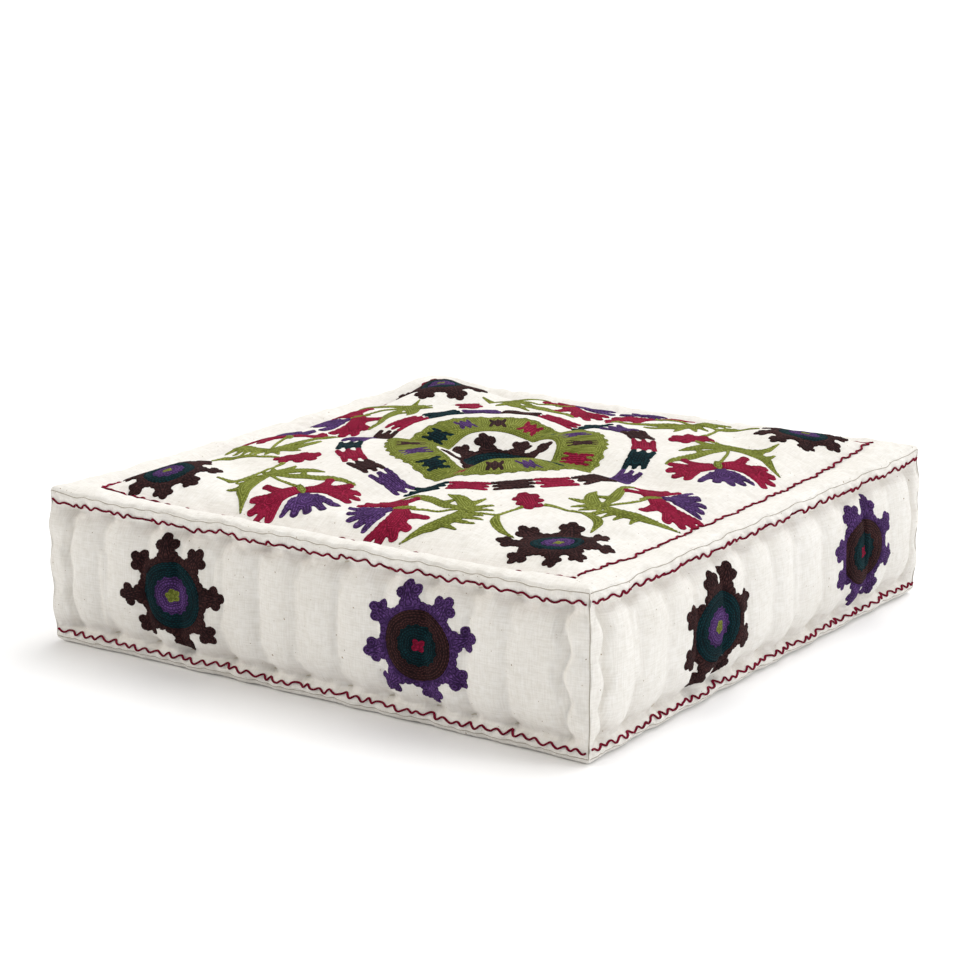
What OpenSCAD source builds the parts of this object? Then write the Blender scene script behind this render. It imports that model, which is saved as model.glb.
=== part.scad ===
// Square boxed floor cushion with rolled edges, one deep centre tuft and
// wool embroidery. Millimetres, +Z up. The origin is the middle of the
// footprint, on the floor.

/* [Cushion] */
// Width along X, from roll to roll
cushion_w = 600; // [560:10:900]
// Depth along Y, from roll to roll
cushion_d = 600; // [560:10:900]
// Height from the floor to the crest of the edge rolls
cushion_h = 150; // [110:5:220]
// Rise of the plump top above the crest of the edge rolls
crown_rise = 20; // [10:1:30]
// Drop of the sunk border from the crest of the edge rolls
border_drop = 9; // [6:1:12]
// Width of the sunk border and the roll beside it
border_w = 42; // [38:1:60]
// Width of the slope that rises from the border to the plump top
slope_w = 60; // [30:5:80]

/* [Cloth] */
// Thickness of the canvas
cloth_t = 1.2; // [0.8:0.1:2]
// Distance of the side panels behind the face of the rolls
side_inset = 2; // [1:0.5:4]

/* [Edge rolls] */
// Radius of the rolls around the top and the bottom
roll_r = 10; // [8:0.5:13]
// Radius of the upright rolls at the four corners
corner_r = 9; // [7:0.5:12]
// How far the bottom rolls are flattened by the floor
roll_flat = 1.5; // [0.5:0.5:3]

/* [Tuft] */
// Radius of the dimple in the top
dimple_r = 80; // [60:2:110]
// Depth of the dimple below the plump top
dimple_depth = 28; // [20:1:50]
// Radius of the hollow that the tuft pulls into the bottom
hollow_r = 40; // [30:2:60]
// Depth of the hollow in the bottom
hollow_depth = 10; // [8:1:16]
// Radius of the flat seat under each tuft
seat_r = 12; // [10:1:16]
// Radius of a cotton tuft
tuft_r = 8; // [5:0.5:10]
// Height of the upper cotton tuft
top_tuft_h = 11; // [5:0.5:14]
// Height of the lower cotton tuft
bottom_tuft_h = 5; // [3:0.5:7]
// Radius of the twine between the tufts
twine_r = 1.5; // [1:0.25:2.5]
// Room between the twine and its hole
twine_gap = 0.25; // [0.1:0.05:0.5]

/* [Embroidery yarn] */
// Height of the yarn above the cloth
yarn_t = 1.2; // [0.6:0.1:2]
// Width of a stitched stem
stem_w = 4; // [2.5:0.5:6]

/* [Wave stitching] */
// Length of one wave
wave_pitch = 11; // [8:0.5:16]
// Height of one wave, from side to side
wave_h = 4; // [3:0.5:6]
// Width of the wave's thread
wave_w = 1.8; // [1:0.1:2.5]
// Distance of the top line from the slope that rises to the plump top
wave_back = 9; // [6:0.5:12]
// Distance of the side lines from the floor and from the crest
wave_edge = 12; // [9:0.5:13]
// Distance of each side line's ends from the corner
wave_end = 22; // [18:1:40]

/* [Side medallions] */
// Distance of a medallion's tips from the floor and from the crest
medallion_gap = 13; // [10:1:20]
// Width of the star's body around its disc
side_star_band = 4.5; // [3:0.5:8]
// Width of the disc around its scalloped ring
side_disc_band = 14; // [10:1:16]
// Radius of its centre
side_centre_r = 9; // [6:0.5:12]
// Distance between the two medallions on a side
medallion_pitch = 276; // [180:2:320]

/* [Centre motif] */
// Outer radius of the centre star
centre_star_r = 55; // [45:1:56]
// Width of the centre star's body around its disc
centre_star_band = 2; // [2:0.5:6]
// Width of that disc around its scalloped ring
centre_disc_band = 11; // [7:1:14]
// Inner radius of the wide ring
wide_ring_in = 60; // [58:1:64]
// Outer radius of the wide ring, without its scallops
wide_ring_out = 108; // [100:1:110]
// Number of scallops around the wide ring
scallop_count = 48; // [36:4:60]
// Number of motifs set into the wide ring
bow_count = 16; // [12:4:20]
// Length of such a motif, outwards
bow_l = 30; // [20:1:36]
// Width of such a motif
bow_w = 22; // [16:1:24]

/* [Chain] */
// Radius of the chain, at the middle of its links
chain_r = 142; // [136:1:150]
// Length of a link
link_l = 36; // [28:1:38]
// Width of a link
link_w = 20; // [14:1:24]

/* [Corner medallions] */
// Distance of a corner medallion's middle from both faces
corner_margin = 78; // [72:1:90]
// Outer radius of a corner medallion
corner_star_r = 55; // [45:1:60]
// Width of the star's body around its disc
corner_star_band = 8; // [4:1:12]
// Width of the disc around its scalloped ring
corner_disc_band = 8; // [5:1:10]
// Radius of its centre
corner_centre_r = 6; // [4:0.5:9]

/* [Sprays] */
// Distance of a flower's root from the face beside it
flower_margin = 92; // [88:1:100]
// Distance of a flower's root from the middle of that side
flower_offset = 46; // [42:1:54]
// Reach of a flower's petals
petal_reach = 44; // [36:1:48]
// Length of a bud
bud_l = 44; // [30:1:48]
// Width of a bud
bud_w = 24; // [16:1:28]
// Gap between the chain and a bud
bud_gap = 5; // [3:1:12]

/* [Hidden] */
$fn = 48;

CANVAS = "ivory";
COTTON = "whitesmoke";
CRIMSON = [0.60, 0.10, 0.28];
BROWN = [0.33, 0.19, 0.20];
TEAL = [0.07, 0.26, 0.29];
PURPLE = [0.37, 0.25, 0.60];
GREEN = [0.50, 0.56, 0.26];

half_w = cushion_w / 2;
half_d = cushion_d / 2;
crown_z = cushion_h + crown_rise;
border_z = cushion_h - border_drop;
seat_z = crown_z - dimple_depth;
roll_top_z = cushion_h - roll_r;
roll_bottom_z = roll_r - roll_flat;
over = 1;                        // overshoot of a cutting solid
tuck = 2;                        // how far the stuffing's edges lie off the roll axes
tall = 2 * cushion_h;            // taller than anything on the cushion
star_arms = 8;
star_body = 0.64;                // radius of a star's body as a share of the star's
wave_inset = border_w - wave_back;
medallion_z = cushion_h / 2;
side_star_r = medallion_z - medallion_gap;
side_disc_r = star_body * side_star_r - side_star_band;
side_ring_r = side_disc_r - side_disc_band;
centre_disc_r = star_body * centre_star_r - centre_star_band;
centre_ring_r = centre_disc_r - centre_disc_band;
corner_disc_r = star_body * corner_star_r - corner_star_band;
corner_ring_r = corner_disc_r - corner_disc_band;
// Yarn colour of each motif, clockwise from +Y: 0 teal, 1 purple, 2 brown, 3 red
bow_colours = [for (i = [0:bow_count - 1]) i % 4];
link_colours = [0, 1, 2, 3, 0, 1, 2, 3, 2, 3, 0, 1, 2, 3, 0, 1, 2, 3, 0, 1, 2, 3];
// Shift of the two medallions along each side: front, right, back, left
medallion_shift = [-9, 36, 0, 0];
side_angles = [0, 90, 180, 270];

// Half the cushion's size across a side, and half its length along it.
function half_across(side) = side % 2 == 0 ? half_d : half_w;
function half_along(side) = side % 2 == 0 ? half_w : half_d;
function turned(points, angle) = [
    for (p = points) [p.x * cos(angle) - p.y * sin(angle), p.x * sin(angle) + p.y * cos(angle)]
];

// ---- the stuffed body ----

// Section of the cushion: flat border, slope, and plump top.
module crown_section(half, rise) {
    polygon([
        [-half, 0], [half, 0], [half, border_z + rise], [half - border_w, border_z + rise],
        [half - border_w - slope_w, crown_z + rise], [border_w + slope_w - half, crown_z + rise],
        [border_w - half, border_z + rise], [-half, border_z + rise]
    ]);
}

// Everything above the dimple's surface; the surface is steep near the tuft.
module dimple(rise) {
    steps = 10;
    rotate_extrude($fn = 96)
        polygon(concat(
            [[0, tall], [0, seat_z + rise]],
            [for (i = [0:steps])
                let (t = i / steps)
                [seat_r + (dimple_r - seat_r) * t, seat_z + rise + dimple_depth * t * (2 - t)]],
            [[dimple_r, tall]]
        ));
}

// The cushion's plump form without its dimple, with the top raised by a given amount.
module crown_form(rise) {
    intersection() {
        rotate([90, 0, 0])
            linear_extrude(2 * half_d, center = true) crown_section(half_w, rise);
        rotate([90, 0, 90])
            linear_extrude(2 * half_w, center = true) crown_section(half_d, rise);
    }
}

// The same form with its dimple.
module top_form(rise) {
    difference() {
        crown_form(rise);
        dimple(rise);
    }
}

// A box on the cushion's middle axis, from z_low to z_high.
module middle_box(x, y, z_low, z_high) {
    translate([-x, -y, z_low]) cube([2 * x, 2 * y, z_high - z_low]);
}

// One long edge roll with mitred ends; side 0 is the front, counted anticlockwise.
module edge_roll(side, z) {
    across = half_across(side);
    along = half_along(side);
    rotate(side_angles[side])
        intersection() {
            translate([-along, roll_r - across, z])
                rotate([0, 90, 0]) cylinder(r = roll_r, h = 2 * along);
            linear_extrude(tall)
                polygon([
                    [-along, -across], [along, -across],
                    [along - 3 * roll_r, 3 * roll_r - across],
                    [3 * roll_r - along, 3 * roll_r - across]
                ]);
        }
}

module top_rolls() {
    for (side = [0:3]) edge_roll(side, roll_top_z);
}

module bottom_rolls() {
    for (side = [0:3]) edge_roll(side, roll_bottom_z);
}

module flat_bottom_roll(side) {
    intersection() {
        edge_roll(side, roll_bottom_z);
        middle_box(half_w + over, half_d + over, 0, cushion_h);
    }
}

// One upright roll, at the corner given by the signs of x and y.
module upright(sx, sy) {
    translate([sx * (half_w - corner_r), sy * (half_d - corner_r), roll_bottom_z])
        cylinder(r = corner_r, h = roll_top_z - roll_bottom_z);
}

module uprights() {
    for (sx = [-1, 1], sy = [-1, 1]) upright(sx, sy);
}

module corner_roll(sx, sy) {
    color(CANVAS) difference() {
        upright(sx, sy);
        top_rolls();
        bottom_rolls();
    }
}

module all_rolls() {
    top_rolls();
    bottom_rolls();
    uprights();
}

module twine_hole() {
    cylinder(r = twine_r + twine_gap, h = tall, center = true);
}

// The hollow under the cushion, reaching up to the seat of the lower tuft; its
// cone runs on below the bottom so that it cuts cleanly.
module hollow(rise) {
    flare = (hollow_r - seat_r) / hollow_depth;
    below = cloth_t + over;
    rotate_extrude($fn = 96)
        polygon([
            [0, rise - below], [hollow_r + flare * below, rise - below],
            [seat_r, hollow_depth + rise], [0, hollow_depth + rise]
        ]);
}

module bottom_panel() {
    color(CANVAS) difference() {
        union() {
            middle_box(half_w - roll_r, half_d - roll_r, 0, cloth_t);
            hollow(cloth_t);
        }
        hollow(0);
        middle_box(half_w, half_d, -cushion_h, 0);
        bottom_rolls();
        twine_hole();
    }
}

module top_panel() {
    color(CANVAS) difference() {
        intersection() {
            difference() {
                top_form(0);
                top_form(-cloth_t);
            }
            middle_box(half_w - roll_r, half_d - roll_r, 0, tall);
        }
        top_rolls();
        twine_hole();
    }
}

module side_panel(side) {
    across = half_across(side) - side_inset;
    along = half_along(side) - corner_r;
    color(CANVAS) difference() {
        rotate(side_angles[side])
            translate([-along, -across, roll_bottom_z])
                cube([2 * along, cloth_t, roll_top_z - roll_bottom_z]);
        all_rolls();
    }
}

// The stuffing: its edges end inside the rolls, a little off their axes, before
// the rolls are cut away from it.
module filling() {
    back = side_inset + cloth_t;
    low = roll_bottom_z + tuck;
    high = roll_top_z - tuck;
    color(COTTON) difference() {
        union() {
            intersection() {
                crown_form(-cloth_t);
                middle_box(half_w - roll_r + tuck, half_d - roll_r + tuck, cloth_t, tall);
            }
            middle_box(half_w - back, half_d - corner_r + tuck, low, high);
            middle_box(half_w - corner_r + tuck, half_d - back, low, high);
        }
        dimple(-cloth_t);
        hollow(cloth_t);
        top_rolls();
        bottom_rolls();
        uprights();
        twine_hole();
    }
}

module tuft_twine() {
    color(COTTON) translate([0, 0, hollow_depth])
        cylinder(r = twine_r, h = seat_z - hollow_depth);
}

// A round tuft of cotton, flat below and domed above.
module tuft(height) {
    color(COTTON) rotate_extrude($fn = 64)
        polygon(concat(
            [[0, 0], [tuft_r * 0.7, 0]],
            [for (a = [0:15:75]) [tuft_r * (0.7 + 0.3 * cos(a)), height * (0.4 + 0.6 * sin(a))]],
            [[tuft_r * 0.7, height], [0, height]]
        ));
}

module top_tuft() {
    translate([0, 0, seat_z]) tuft(top_tuft_h);
}

module bottom_tuft() {
    translate([0, 0, hollow_depth]) mirror([0, 0, 1]) tuft(bottom_tuft_h);
}

// ---- wave stitching ----

// A zigzag ribbon along X, with a whole number of waves over the given length.
module wave_2d(length) {
    waves = floor(length / wave_pitch);
    step = length / waves / 2;
    ridge = [for (i = [0:2 * waves]) [i * step - length / 2, (i % 2 - 0.5) * (wave_h - wave_w)]];
    polygon(concat(
        [for (p = ridge) [p.x, p.y + wave_w / 2]],
        [for (i = [2 * waves:-1:0]) [ridge[i].x, ridge[i].y - wave_w / 2]]
    ));
}

module top_wave(side) {
    color(CRIMSON) rotate(side_angles[side])
        translate([0, wave_inset - half_across(side), border_z])
            linear_extrude(yarn_t) wave_2d(2 * (half_along(side) - wave_inset - wave_h));
}

// One wave line on the face of a roll whose axis is at the given height.
module roll_wave(side, axis_z, line_z) {
    length = 2 * (half_along(side) - wave_end);
    intersection() {
        translate([-length / 2, roll_r - half_across(side), axis_z]) rotate([0, 90, 0])
            difference() {
                cylinder(r = roll_r + yarn_t, h = length);
                translate([0, 0, -over]) cylinder(r = roll_r, h = length + 2 * over);
            }
        translate([0, roll_r - half_across(side), line_z]) rotate([90, 0, 0])
            linear_extrude(2 * roll_r) wave_2d(length - 2 * over);
    }
}

module side_waves(side) {
    color(CRIMSON) rotate(side_angles[side]) {
        roll_wave(side, roll_top_z, cushion_h - wave_edge);
        roll_wave(side, roll_bottom_z, wave_edge);
    }
}

// ---- embroidery outlines ----

// One star: a disc with arms that end in three round lobes.
module star_2d(r) {
    circle(r = r * star_body);
    for (i = [0:star_arms - 1]) rotate(i * 360 / star_arms) {
        polygon([
            [r * 0.50, -r * 0.15], [r * 0.82, -r * 0.07],
            [r * 0.82, r * 0.07], [r * 0.50, r * 0.15]
        ]);
        translate([r * 0.88, 0]) circle(r = r * 0.12);
        for (s = [-1, 1]) translate([r * 0.78, s * r * 0.12]) circle(r = r * 0.10);
    }
}

// A disc whose edge is a row of round bumps.
module scalloped_2d(r, count) {
    bump = PI * r / count;
    circle(r = r - bump / 2);
    for (i = [0:count - 1]) rotate(i * 360 / count) translate([r - bump, 0]) circle(r = bump);
}

// A motif with three pointed fingers at each end.
module fingered_2d(length, width) {
    end = [
        [0.12 * length, 0.36 * width], [0.50 * length, 0.50 * width], [0.30 * length, 0.22 * width],
        [0.50 * length, 0], [0.30 * length, -0.22 * width], [0.50 * length, -0.50 * width],
        [0.12 * length, -0.36 * width]
    ];
    polygon(concat([for (i = [len(end) - 1:-1:0]) end[i]], [for (i = [len(end) - 1:-1:0]) -end[i]]));
}

// A leaf from the origin along +X, with teeth on its left edge.
module toothed_leaf_2d(length, width, teeth) {
    spine = [for (i = [0:6]) [length * i / 6, -0.18 * width * sin(180 * i / 6)]];
    comb = [for (i = [0:teeth - 1])
        let (x = length * (0.18 + 0.62 * i / teeth), reach = width * (1 - 0.45 * i / teeth))
        each [[x, 0.25 * reach], [x + 0.06 * length, reach]]];
    polygon(concat(spine, [for (i = [len(comb) - 1:-1:0]) comb[i]]));
}

// A straight stem between two points.
module stem_2d(from, to) {
    run = to - from;
    translate(from) rotate(atan2(run.y, run.x))
        translate([0, -stem_w / 2]) square([norm(run), stem_w]);
}

// Both red wings of a flower whose root is at the origin and which opens along +Y.
module wings_2d(reach) {
    for (s = [-1, 1]) rotate(s * 30) {
        polygon([[0, 0], [s * reach * 0.34, reach * 0.30], [0, reach]]);
        polygon([[0, 0], [-s * reach * 0.10, reach * 0.5], [0, reach]]);
        for (t = [0.30:0.22:0.75])
            translate([s * reach * 0.24, reach * t]) circle(r = reach * 0.13);
    }
}

// The purple fan between the wings.
module fan_2d(reach) {
    for (a = [-12:6:12]) rotate(a)
        polygon([
            [-reach * 0.03, reach * 0.42], [reach * 0.03, reach * 0.42],
            [reach * 0.05, reach], [-reach * 0.05, reach]
        ]);
}

// ---- embroidery on the sides ----

module on_sides(kind) {
    for (side = [0:3])
        rotate(side_angles[side])
            translate([
                medallion_shift[side] + (kind - 0.5) * medallion_pitch,
                side_inset - half_across(side), medallion_z
            ])
                rotate([90, 0, 0]) linear_extrude(yarn_t) children();
}

module ring_2d(r, hole) {
    difference() {
        circle(r = r);
        scalloped_2d(hole, 12);
    }
}

// The tips of a side star end at the rolls.
module side_star(kind) {
    difference() {
        on_sides(kind) difference() {
            star_2d(side_star_r);
            circle(r = side_disc_r);
        }
        top_rolls();
        bottom_rolls();
    }
}

module side_disc(kind) {
    on_sides(kind) ring_2d(side_disc_r, side_ring_r);
}

module side_ring(kind) {
    on_sides(kind) difference() {
        scalloped_2d(side_ring_r, 12);
        scalloped_2d(side_centre_r, 5);
    }
}

module side_centre(kind) {
    on_sides(kind) scalloped_2d(side_centre_r, 5);
}

// ---- embroidery on the top ----

// Yarn of an even height that follows the top's surface.
module on_top() {
    intersection() {
        difference() {
            top_form(yarn_t);
            top_form(0);
        }
        linear_extrude(tall) children();
    }
}

module at_corners() {
    for (sx = [-1, 1], sy = [-1, 1])
        translate([sx * (half_w - corner_margin), sy * (half_d - corner_margin)]) children();
}

module corner_stars() {
    color(BROWN) on_top() at_corners() difference() {
        star_2d(corner_star_r);
        circle(r = corner_disc_r);
    }
}

module corner_discs() {
    color(TEAL) on_top() at_corners() ring_2d(corner_disc_r, corner_ring_r);
}

module corner_rings() {
    color(PURPLE) on_top() at_corners() difference() {
        scalloped_2d(corner_ring_r, 12);
        circle(r = corner_centre_r);
    }
}

module corner_centres() {
    color(GREEN) on_top() at_corners() circle(r = corner_centre_r);
}

module centre_star() {
    color(BROWN) on_top() difference() {
        star_2d(centre_star_r);
        circle(r = centre_disc_r);
    }
}

module centre_disc() {
    color(TEAL) on_top() ring_2d(centre_disc_r, centre_ring_r);
}

module centre_ring() {
    color(PURPLE) on_top() difference() {
        scalloped_2d(centre_ring_r, 12);
        circle(r = seat_r);
    }
}

module bow_places(colour) {
    for (i = [0:bow_count - 1])
        if (colour < 0 || bow_colours[i] == colour)
            rotate(90 - (i + 0.5) * 360 / bow_count)
                translate([(wide_ring_in + wide_ring_out) / 2, 0]) fingered_2d(bow_l, bow_w);
}

module wide_ring() {
    color(GREEN) on_top() difference() {
        scalloped_2d(wide_ring_out, scallop_count);
        circle(r = wide_ring_in, $fn = 96);
        bow_places(-1);
    }
}

module bows(colour) {
    on_top() bow_places(colour);
}

module links(colour) {
    count = len(link_colours);
    on_top()
        for (i = [0:count - 1])
            if (link_colours[i] == colour)
                rotate(90 - (i + 0.5) * 360 / count)
                    translate([chain_r, 0]) rotate(90) fingered_2d(link_l, link_w);
}

// The places of one spray, in the quarter where x and y are positive.
bud_at = (chain_r + link_w / 2 + bud_gap + bud_l / 2) * [1, 1] / sqrt(2);
corner_at = [half_w - corner_margin, half_d - corner_margin];
// Where a spray's stem forks, seen from the corner medallion.
fork_reach = [92, 38];

// The four quarters, each with its two mirrored halves: child 0 is drawn in both.
module in_halves() {
    for (quarter = [0:3], half = [0:1])
        mirror([quarter % 2, 0]) mirror([0, floor(quarter / 2)])
            mirror([half, -half]) children();
}

module bud_2d() {
    translate(bud_at) rotate(45) polygon([
        [-bud_l / 2, 0], [-bud_l * 0.3, bud_w * 0.42], [bud_l * 0.2, bud_w * 0.5],
        [bud_l / 2, bud_w * 0.2], [bud_l / 2, -bud_w * 0.2], [bud_l * 0.2, -bud_w * 0.5],
        [-bud_l * 0.3, -bud_w * 0.42]
    ]);
}

module half_spray_2d() {
    fork = corner_at - fork_reach;
    root = [flower_offset, half_d - flower_margin];
    knot = root + [44, -12];
    stem_2d(bud_at + bud_l * 0.45 * [1, 1] / sqrt(2), fork);
    stem_2d(fork, knot);
    stem_2d(knot, root);
    stem_2d(fork, corner_at - corner_star_r * [0.75, 0.55]);
    translate(knot) rotate(80) toothed_leaf_2d(68, 30, 4);
    translate(knot) rotate(195) toothed_leaf_2d(46, 22, 3);
}

module stems_and_leaves() {
    color(GREEN) on_top() difference() {
        in_halves() half_spray_2d();
        at_corners() star_2d(corner_star_r);
        in_halves() bud_2d();
        in_halves() flower_place() {
            wings_2d(petal_reach);
            fan_2d(petal_reach);
        }
    }
}

module flower_place() {
    translate([flower_offset, half_d - flower_margin]) rotate(20) children();
}

module petals_red() {
    color(CRIMSON) on_top() {
        in_halves() flower_place() wings_2d(petal_reach);
        in_halves() bud_2d();
    }
}

module petals_purple() {
    color(PURPLE) on_top() difference() {
        in_halves() flower_place() fan_2d(petal_reach);
        in_halves() flower_place() wings_2d(petal_reach);
    }
}

bottom_panel();
top_panel();
side_panel(0);  // front_panel
side_panel(1);  // right_panel
side_panel(2);  // back_panel
side_panel(3);  // left_panel
color(CANVAS) edge_roll(0, roll_top_z);  // top_roll_front
color(CANVAS) edge_roll(1, roll_top_z);  // top_roll_right
color(CANVAS) edge_roll(2, roll_top_z);  // top_roll_back
color(CANVAS) edge_roll(3, roll_top_z);  // top_roll_left
color(CANVAS) flat_bottom_roll(0);  // bottom_roll_front
color(CANVAS) flat_bottom_roll(1);  // bottom_roll_right
color(CANVAS) flat_bottom_roll(2);  // bottom_roll_back
color(CANVAS) flat_bottom_roll(3);  // bottom_roll_left
corner_roll(-1, -1);  // corner_roll_front_left
corner_roll(1, -1);  // corner_roll_front_right
corner_roll(1, 1);  // corner_roll_back_right
corner_roll(-1, 1);  // corner_roll_back_left
filling();
tuft_twine();
top_tuft();
bottom_tuft();
top_wave(0);  // top_wave_front
top_wave(1);  // top_wave_right
top_wave(2);  // top_wave_back
top_wave(3);  // top_wave_left
side_waves(0);  // side_waves_front
side_waves(1);  // side_waves_right
side_waves(2);  // side_waves_back
side_waves(3);  // side_waves_left
color(BROWN) side_star(0);  // side_stars_brown
color(TEAL) side_disc(0);  // side_discs_teal
color(PURPLE) side_ring(0);  // side_rings_purple
color(GREEN) side_centre(0);  // side_centres_green
color(PURPLE) side_star(1);  // side_stars_purple
color(BROWN) side_disc(1);  // side_discs_brown
color(TEAL) side_ring(1);  // side_rings_teal
color(CRIMSON) side_centre(1);  // side_centres_red
corner_stars();
corner_discs();
corner_rings();
corner_centres();
centre_star();
centre_disc();
centre_ring();
wide_ring();
color(TEAL) bows(0);  // bows_teal
color(PURPLE) bows(1);  // bows_purple
color(BROWN) bows(2);  // bows_brown
color(CRIMSON) bows(3);  // bows_red
color(TEAL) links(0);  // links_teal
color(PURPLE) links(1);  // links_purple
color(BROWN) links(2);  // links_brown
color(CRIMSON) links(3);  // links_red
stems_and_leaves();
petals_red();
petals_purple();
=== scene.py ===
"""Looks of the square floor cushion: sewn cover, rolled edges, stuffing, tufts and wool embroidery.

The cover is made of six grids of cloth points. Each grid knows its flat, unstuffed
coordinates, so embroidery, stitching and weave can be laid out flat and carried over
to the stuffed shape. Lengths are in millimetres until a mesh is made.
"""

import math

import bpy
import numpy as np
from mathutils import Euler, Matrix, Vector


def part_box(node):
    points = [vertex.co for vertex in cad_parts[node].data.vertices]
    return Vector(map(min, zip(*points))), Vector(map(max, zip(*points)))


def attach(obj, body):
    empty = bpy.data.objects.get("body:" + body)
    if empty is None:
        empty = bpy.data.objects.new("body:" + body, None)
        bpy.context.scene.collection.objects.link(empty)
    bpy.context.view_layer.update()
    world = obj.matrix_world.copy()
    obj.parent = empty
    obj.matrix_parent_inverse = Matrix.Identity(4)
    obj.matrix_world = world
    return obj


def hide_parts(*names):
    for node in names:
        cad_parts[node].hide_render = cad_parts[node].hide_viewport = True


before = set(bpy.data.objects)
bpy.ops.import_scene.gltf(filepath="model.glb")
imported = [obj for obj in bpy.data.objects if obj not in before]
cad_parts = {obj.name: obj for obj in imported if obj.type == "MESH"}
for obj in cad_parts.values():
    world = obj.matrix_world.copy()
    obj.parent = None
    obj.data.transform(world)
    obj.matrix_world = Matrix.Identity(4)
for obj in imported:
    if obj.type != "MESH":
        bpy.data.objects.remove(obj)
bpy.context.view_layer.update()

MM = 0.001


def corner_mm(node, which):
    """Lowest (0) or highest (1) corner of a CAD node, in millimetres."""
    return np.array(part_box(node)[which]) / MM


# ---- sizes, taken from the frame where it has them ----

HALF = corner_mm("top_roll_right", 1)[0]
CREST = corner_mm("top_roll_right", 1)[2]
SEAT = corner_mm("top_tuft", 0)[2]
TUFT_TOP = corner_mm("top_tuft", 1)[2]
TUFT_R = corner_mm("top_tuft", 1)[0]
HOLLOW = corner_mm("bottom_tuft", 1)[2]
BOTTOM_TUFT_LOW = corner_mm("bottom_tuft", 0)[2]
TWINE_R = corner_mm("tuft_twine", 1)[0]

CLOTH = 1.2  # thickness of the canvas
STUFFING_INSET = CLOTH + 1.0  # from the outside of the canvas to the stuffing
YARN = 1.3  # height of the embroidery above the canvas
ROW = 2.2  # width of one row of chain stitch
LINK = 4.2  # length of one chain stitch
TWIST = 9.0  # length of one turn of the twine
WAVE_THREAD_R, TACK_THREAD_R, SEAM_THREAD_R = 1.15, 0.55, 0.4
WAVE_INSET = 33.0  # the top's wave line, from the edge
TACK_LOW, TACK_HIGH = 18.0, 132.0  # heights of the two rows of tacks
TACK_ROWS = ((0, TACK_LOW), (1, TACK_HIGH))
TACK_STEP = 46.0  # distance between tacks
SEAM_LOW, SEAM_HIGH = 5.0, CREST - 3  # heights of the two seams around the cushion
LOW_WAVE, HIGH_WAVE = 12.0, 138.0  # heights of the two wave lines on a side
WAVE_PITCH = 13.6  # length of one wave of the stitching
CORNER_ROLL = [24.0, 19.0, 22.0, 21.0]  # width of the upright rolls, on each side
SIDE_ANGLES = [0, 90, 180, 270]
SIDE_NAMES = ["front", "right", "back", "left"]
JOIN_PER_MM = 50  # points of two panels within 1/50 mm of each other are one point


# ---- plain number helpers ----


def smooth(t):
    """Rises smoothly from 0 to 1 as t goes from 0 to 1."""
    t = np.clip(t, 0, 1)
    return t * t * (3 - 2 * t)


def hump(x, width):
    """A bell of height 1 at x = 0."""
    return np.exp(-((x / width) ** 2))


def curve(profile, t):
    """A smooth curve through the (position, value) pairs of a profile."""
    table = np.array(profile, float)
    x, y = table[:, 0], table[:, 1]
    slope = np.gradient(y, x)
    t = np.clip(t, x[0], x[-1])
    i = np.clip(np.searchsorted(x, t, side="right") - 1, 0, len(x) - 2)
    step = x[i + 1] - x[i]
    f = (t - x[i]) / step
    return (
        y[i] * (1 + 2 * f) * (1 - f) ** 2
        + slope[i] * step * f * (1 - f) ** 2
        + y[i + 1] * f * f * (3 - 2 * f)
        - slope[i + 1] * step * f * f * (1 - f)
    )


def wobble(t, seed, wave=90.0):
    """An irregular smooth curve of about unit height."""
    rng = np.random.default_rng(seed)
    total = np.zeros_like(np.asarray(t, float))
    for octave in range(1, 5):
        length = wave * rng.uniform(0.7, 1.4) / octave
        total += np.sin(2 * np.pi * t / length + rng.uniform(0, 2 * np.pi)) / octave
    return total / 1.5


def rumple(x, y, seed, wave=90.0):
    """An irregular smooth surface of about unit height."""
    rng = np.random.default_rng(seed)
    total = np.zeros_like(x)
    for _ in range(7):
        a = rng.uniform(0, np.pi)
        k = 2 * np.pi / (wave * rng.uniform(0.6, 1.5))
        total += np.sin(k * (x * np.cos(a) + y * np.sin(a)) + rng.uniform(0, 2 * np.pi))
    return total / 3.5


def spaced(breaks, steps):
    """Grid lines through the breaks, at about the given steps between them."""
    lines = [breaks[0]]
    for start, end, step in zip(breaks[:-1], breaks[1:], steps):
        count = max(1, int(round((end - start) / step)))
        lines.extend(np.linspace(start, end, count + 1)[1:])
    return np.array(lines)


def unit(vectors):
    """Vectors scaled to length 1."""
    return vectors / np.maximum(np.linalg.norm(vectors, axis=-1, keepdims=True), 1e-9)


def grid_quads(nu, nv):
    """The cells of a grid of nu by nv points, as quads of point numbers."""
    index = np.arange(nu * nv).reshape(nu, nv)
    return np.stack([index[:-1, :-1], index[1:, :-1], index[1:, 1:], index[:-1, 1:]], -1)


def closed_faces(quads, count):
    """The quads, the same quads count points further on and turned over, and walls between."""
    edges = np.concatenate([quads[:, [k, (k + 1) % 4]] for k in range(4)])
    low, high = edges.min(1), edges.max(1)
    _, at, times = np.unique(low * count + high, return_index=True, return_counts=True)
    rim = edges[at[times == 1]]
    walls = np.stack([rim[:, 1], rim[:, 0], rim[:, 0] + count, rim[:, 1] + count], -1)
    return np.concatenate([quads, quads[:, ::-1] + count, walls])


# ---- the stuffed shape of the cover ----

# Height of the top over the distance from the edge: seam, roll, sunk wave line, slope.
TOP_PROFILE = [
    (0, SEAM_HIGH), (0.8, 148.7), (2.2, 149.9), (5, 150.8), (9, 151.0), (14, 150.3),
    (19, 148.4), (25, 145.0), (30, 142.2), (33, 141.2), (37, 142.8), (45, 147.6),
    (55, 153.4), (65, 157.4), (78, 160.6), (95, 162.8), (120, 163.8), (320, 164.0),
]
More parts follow.
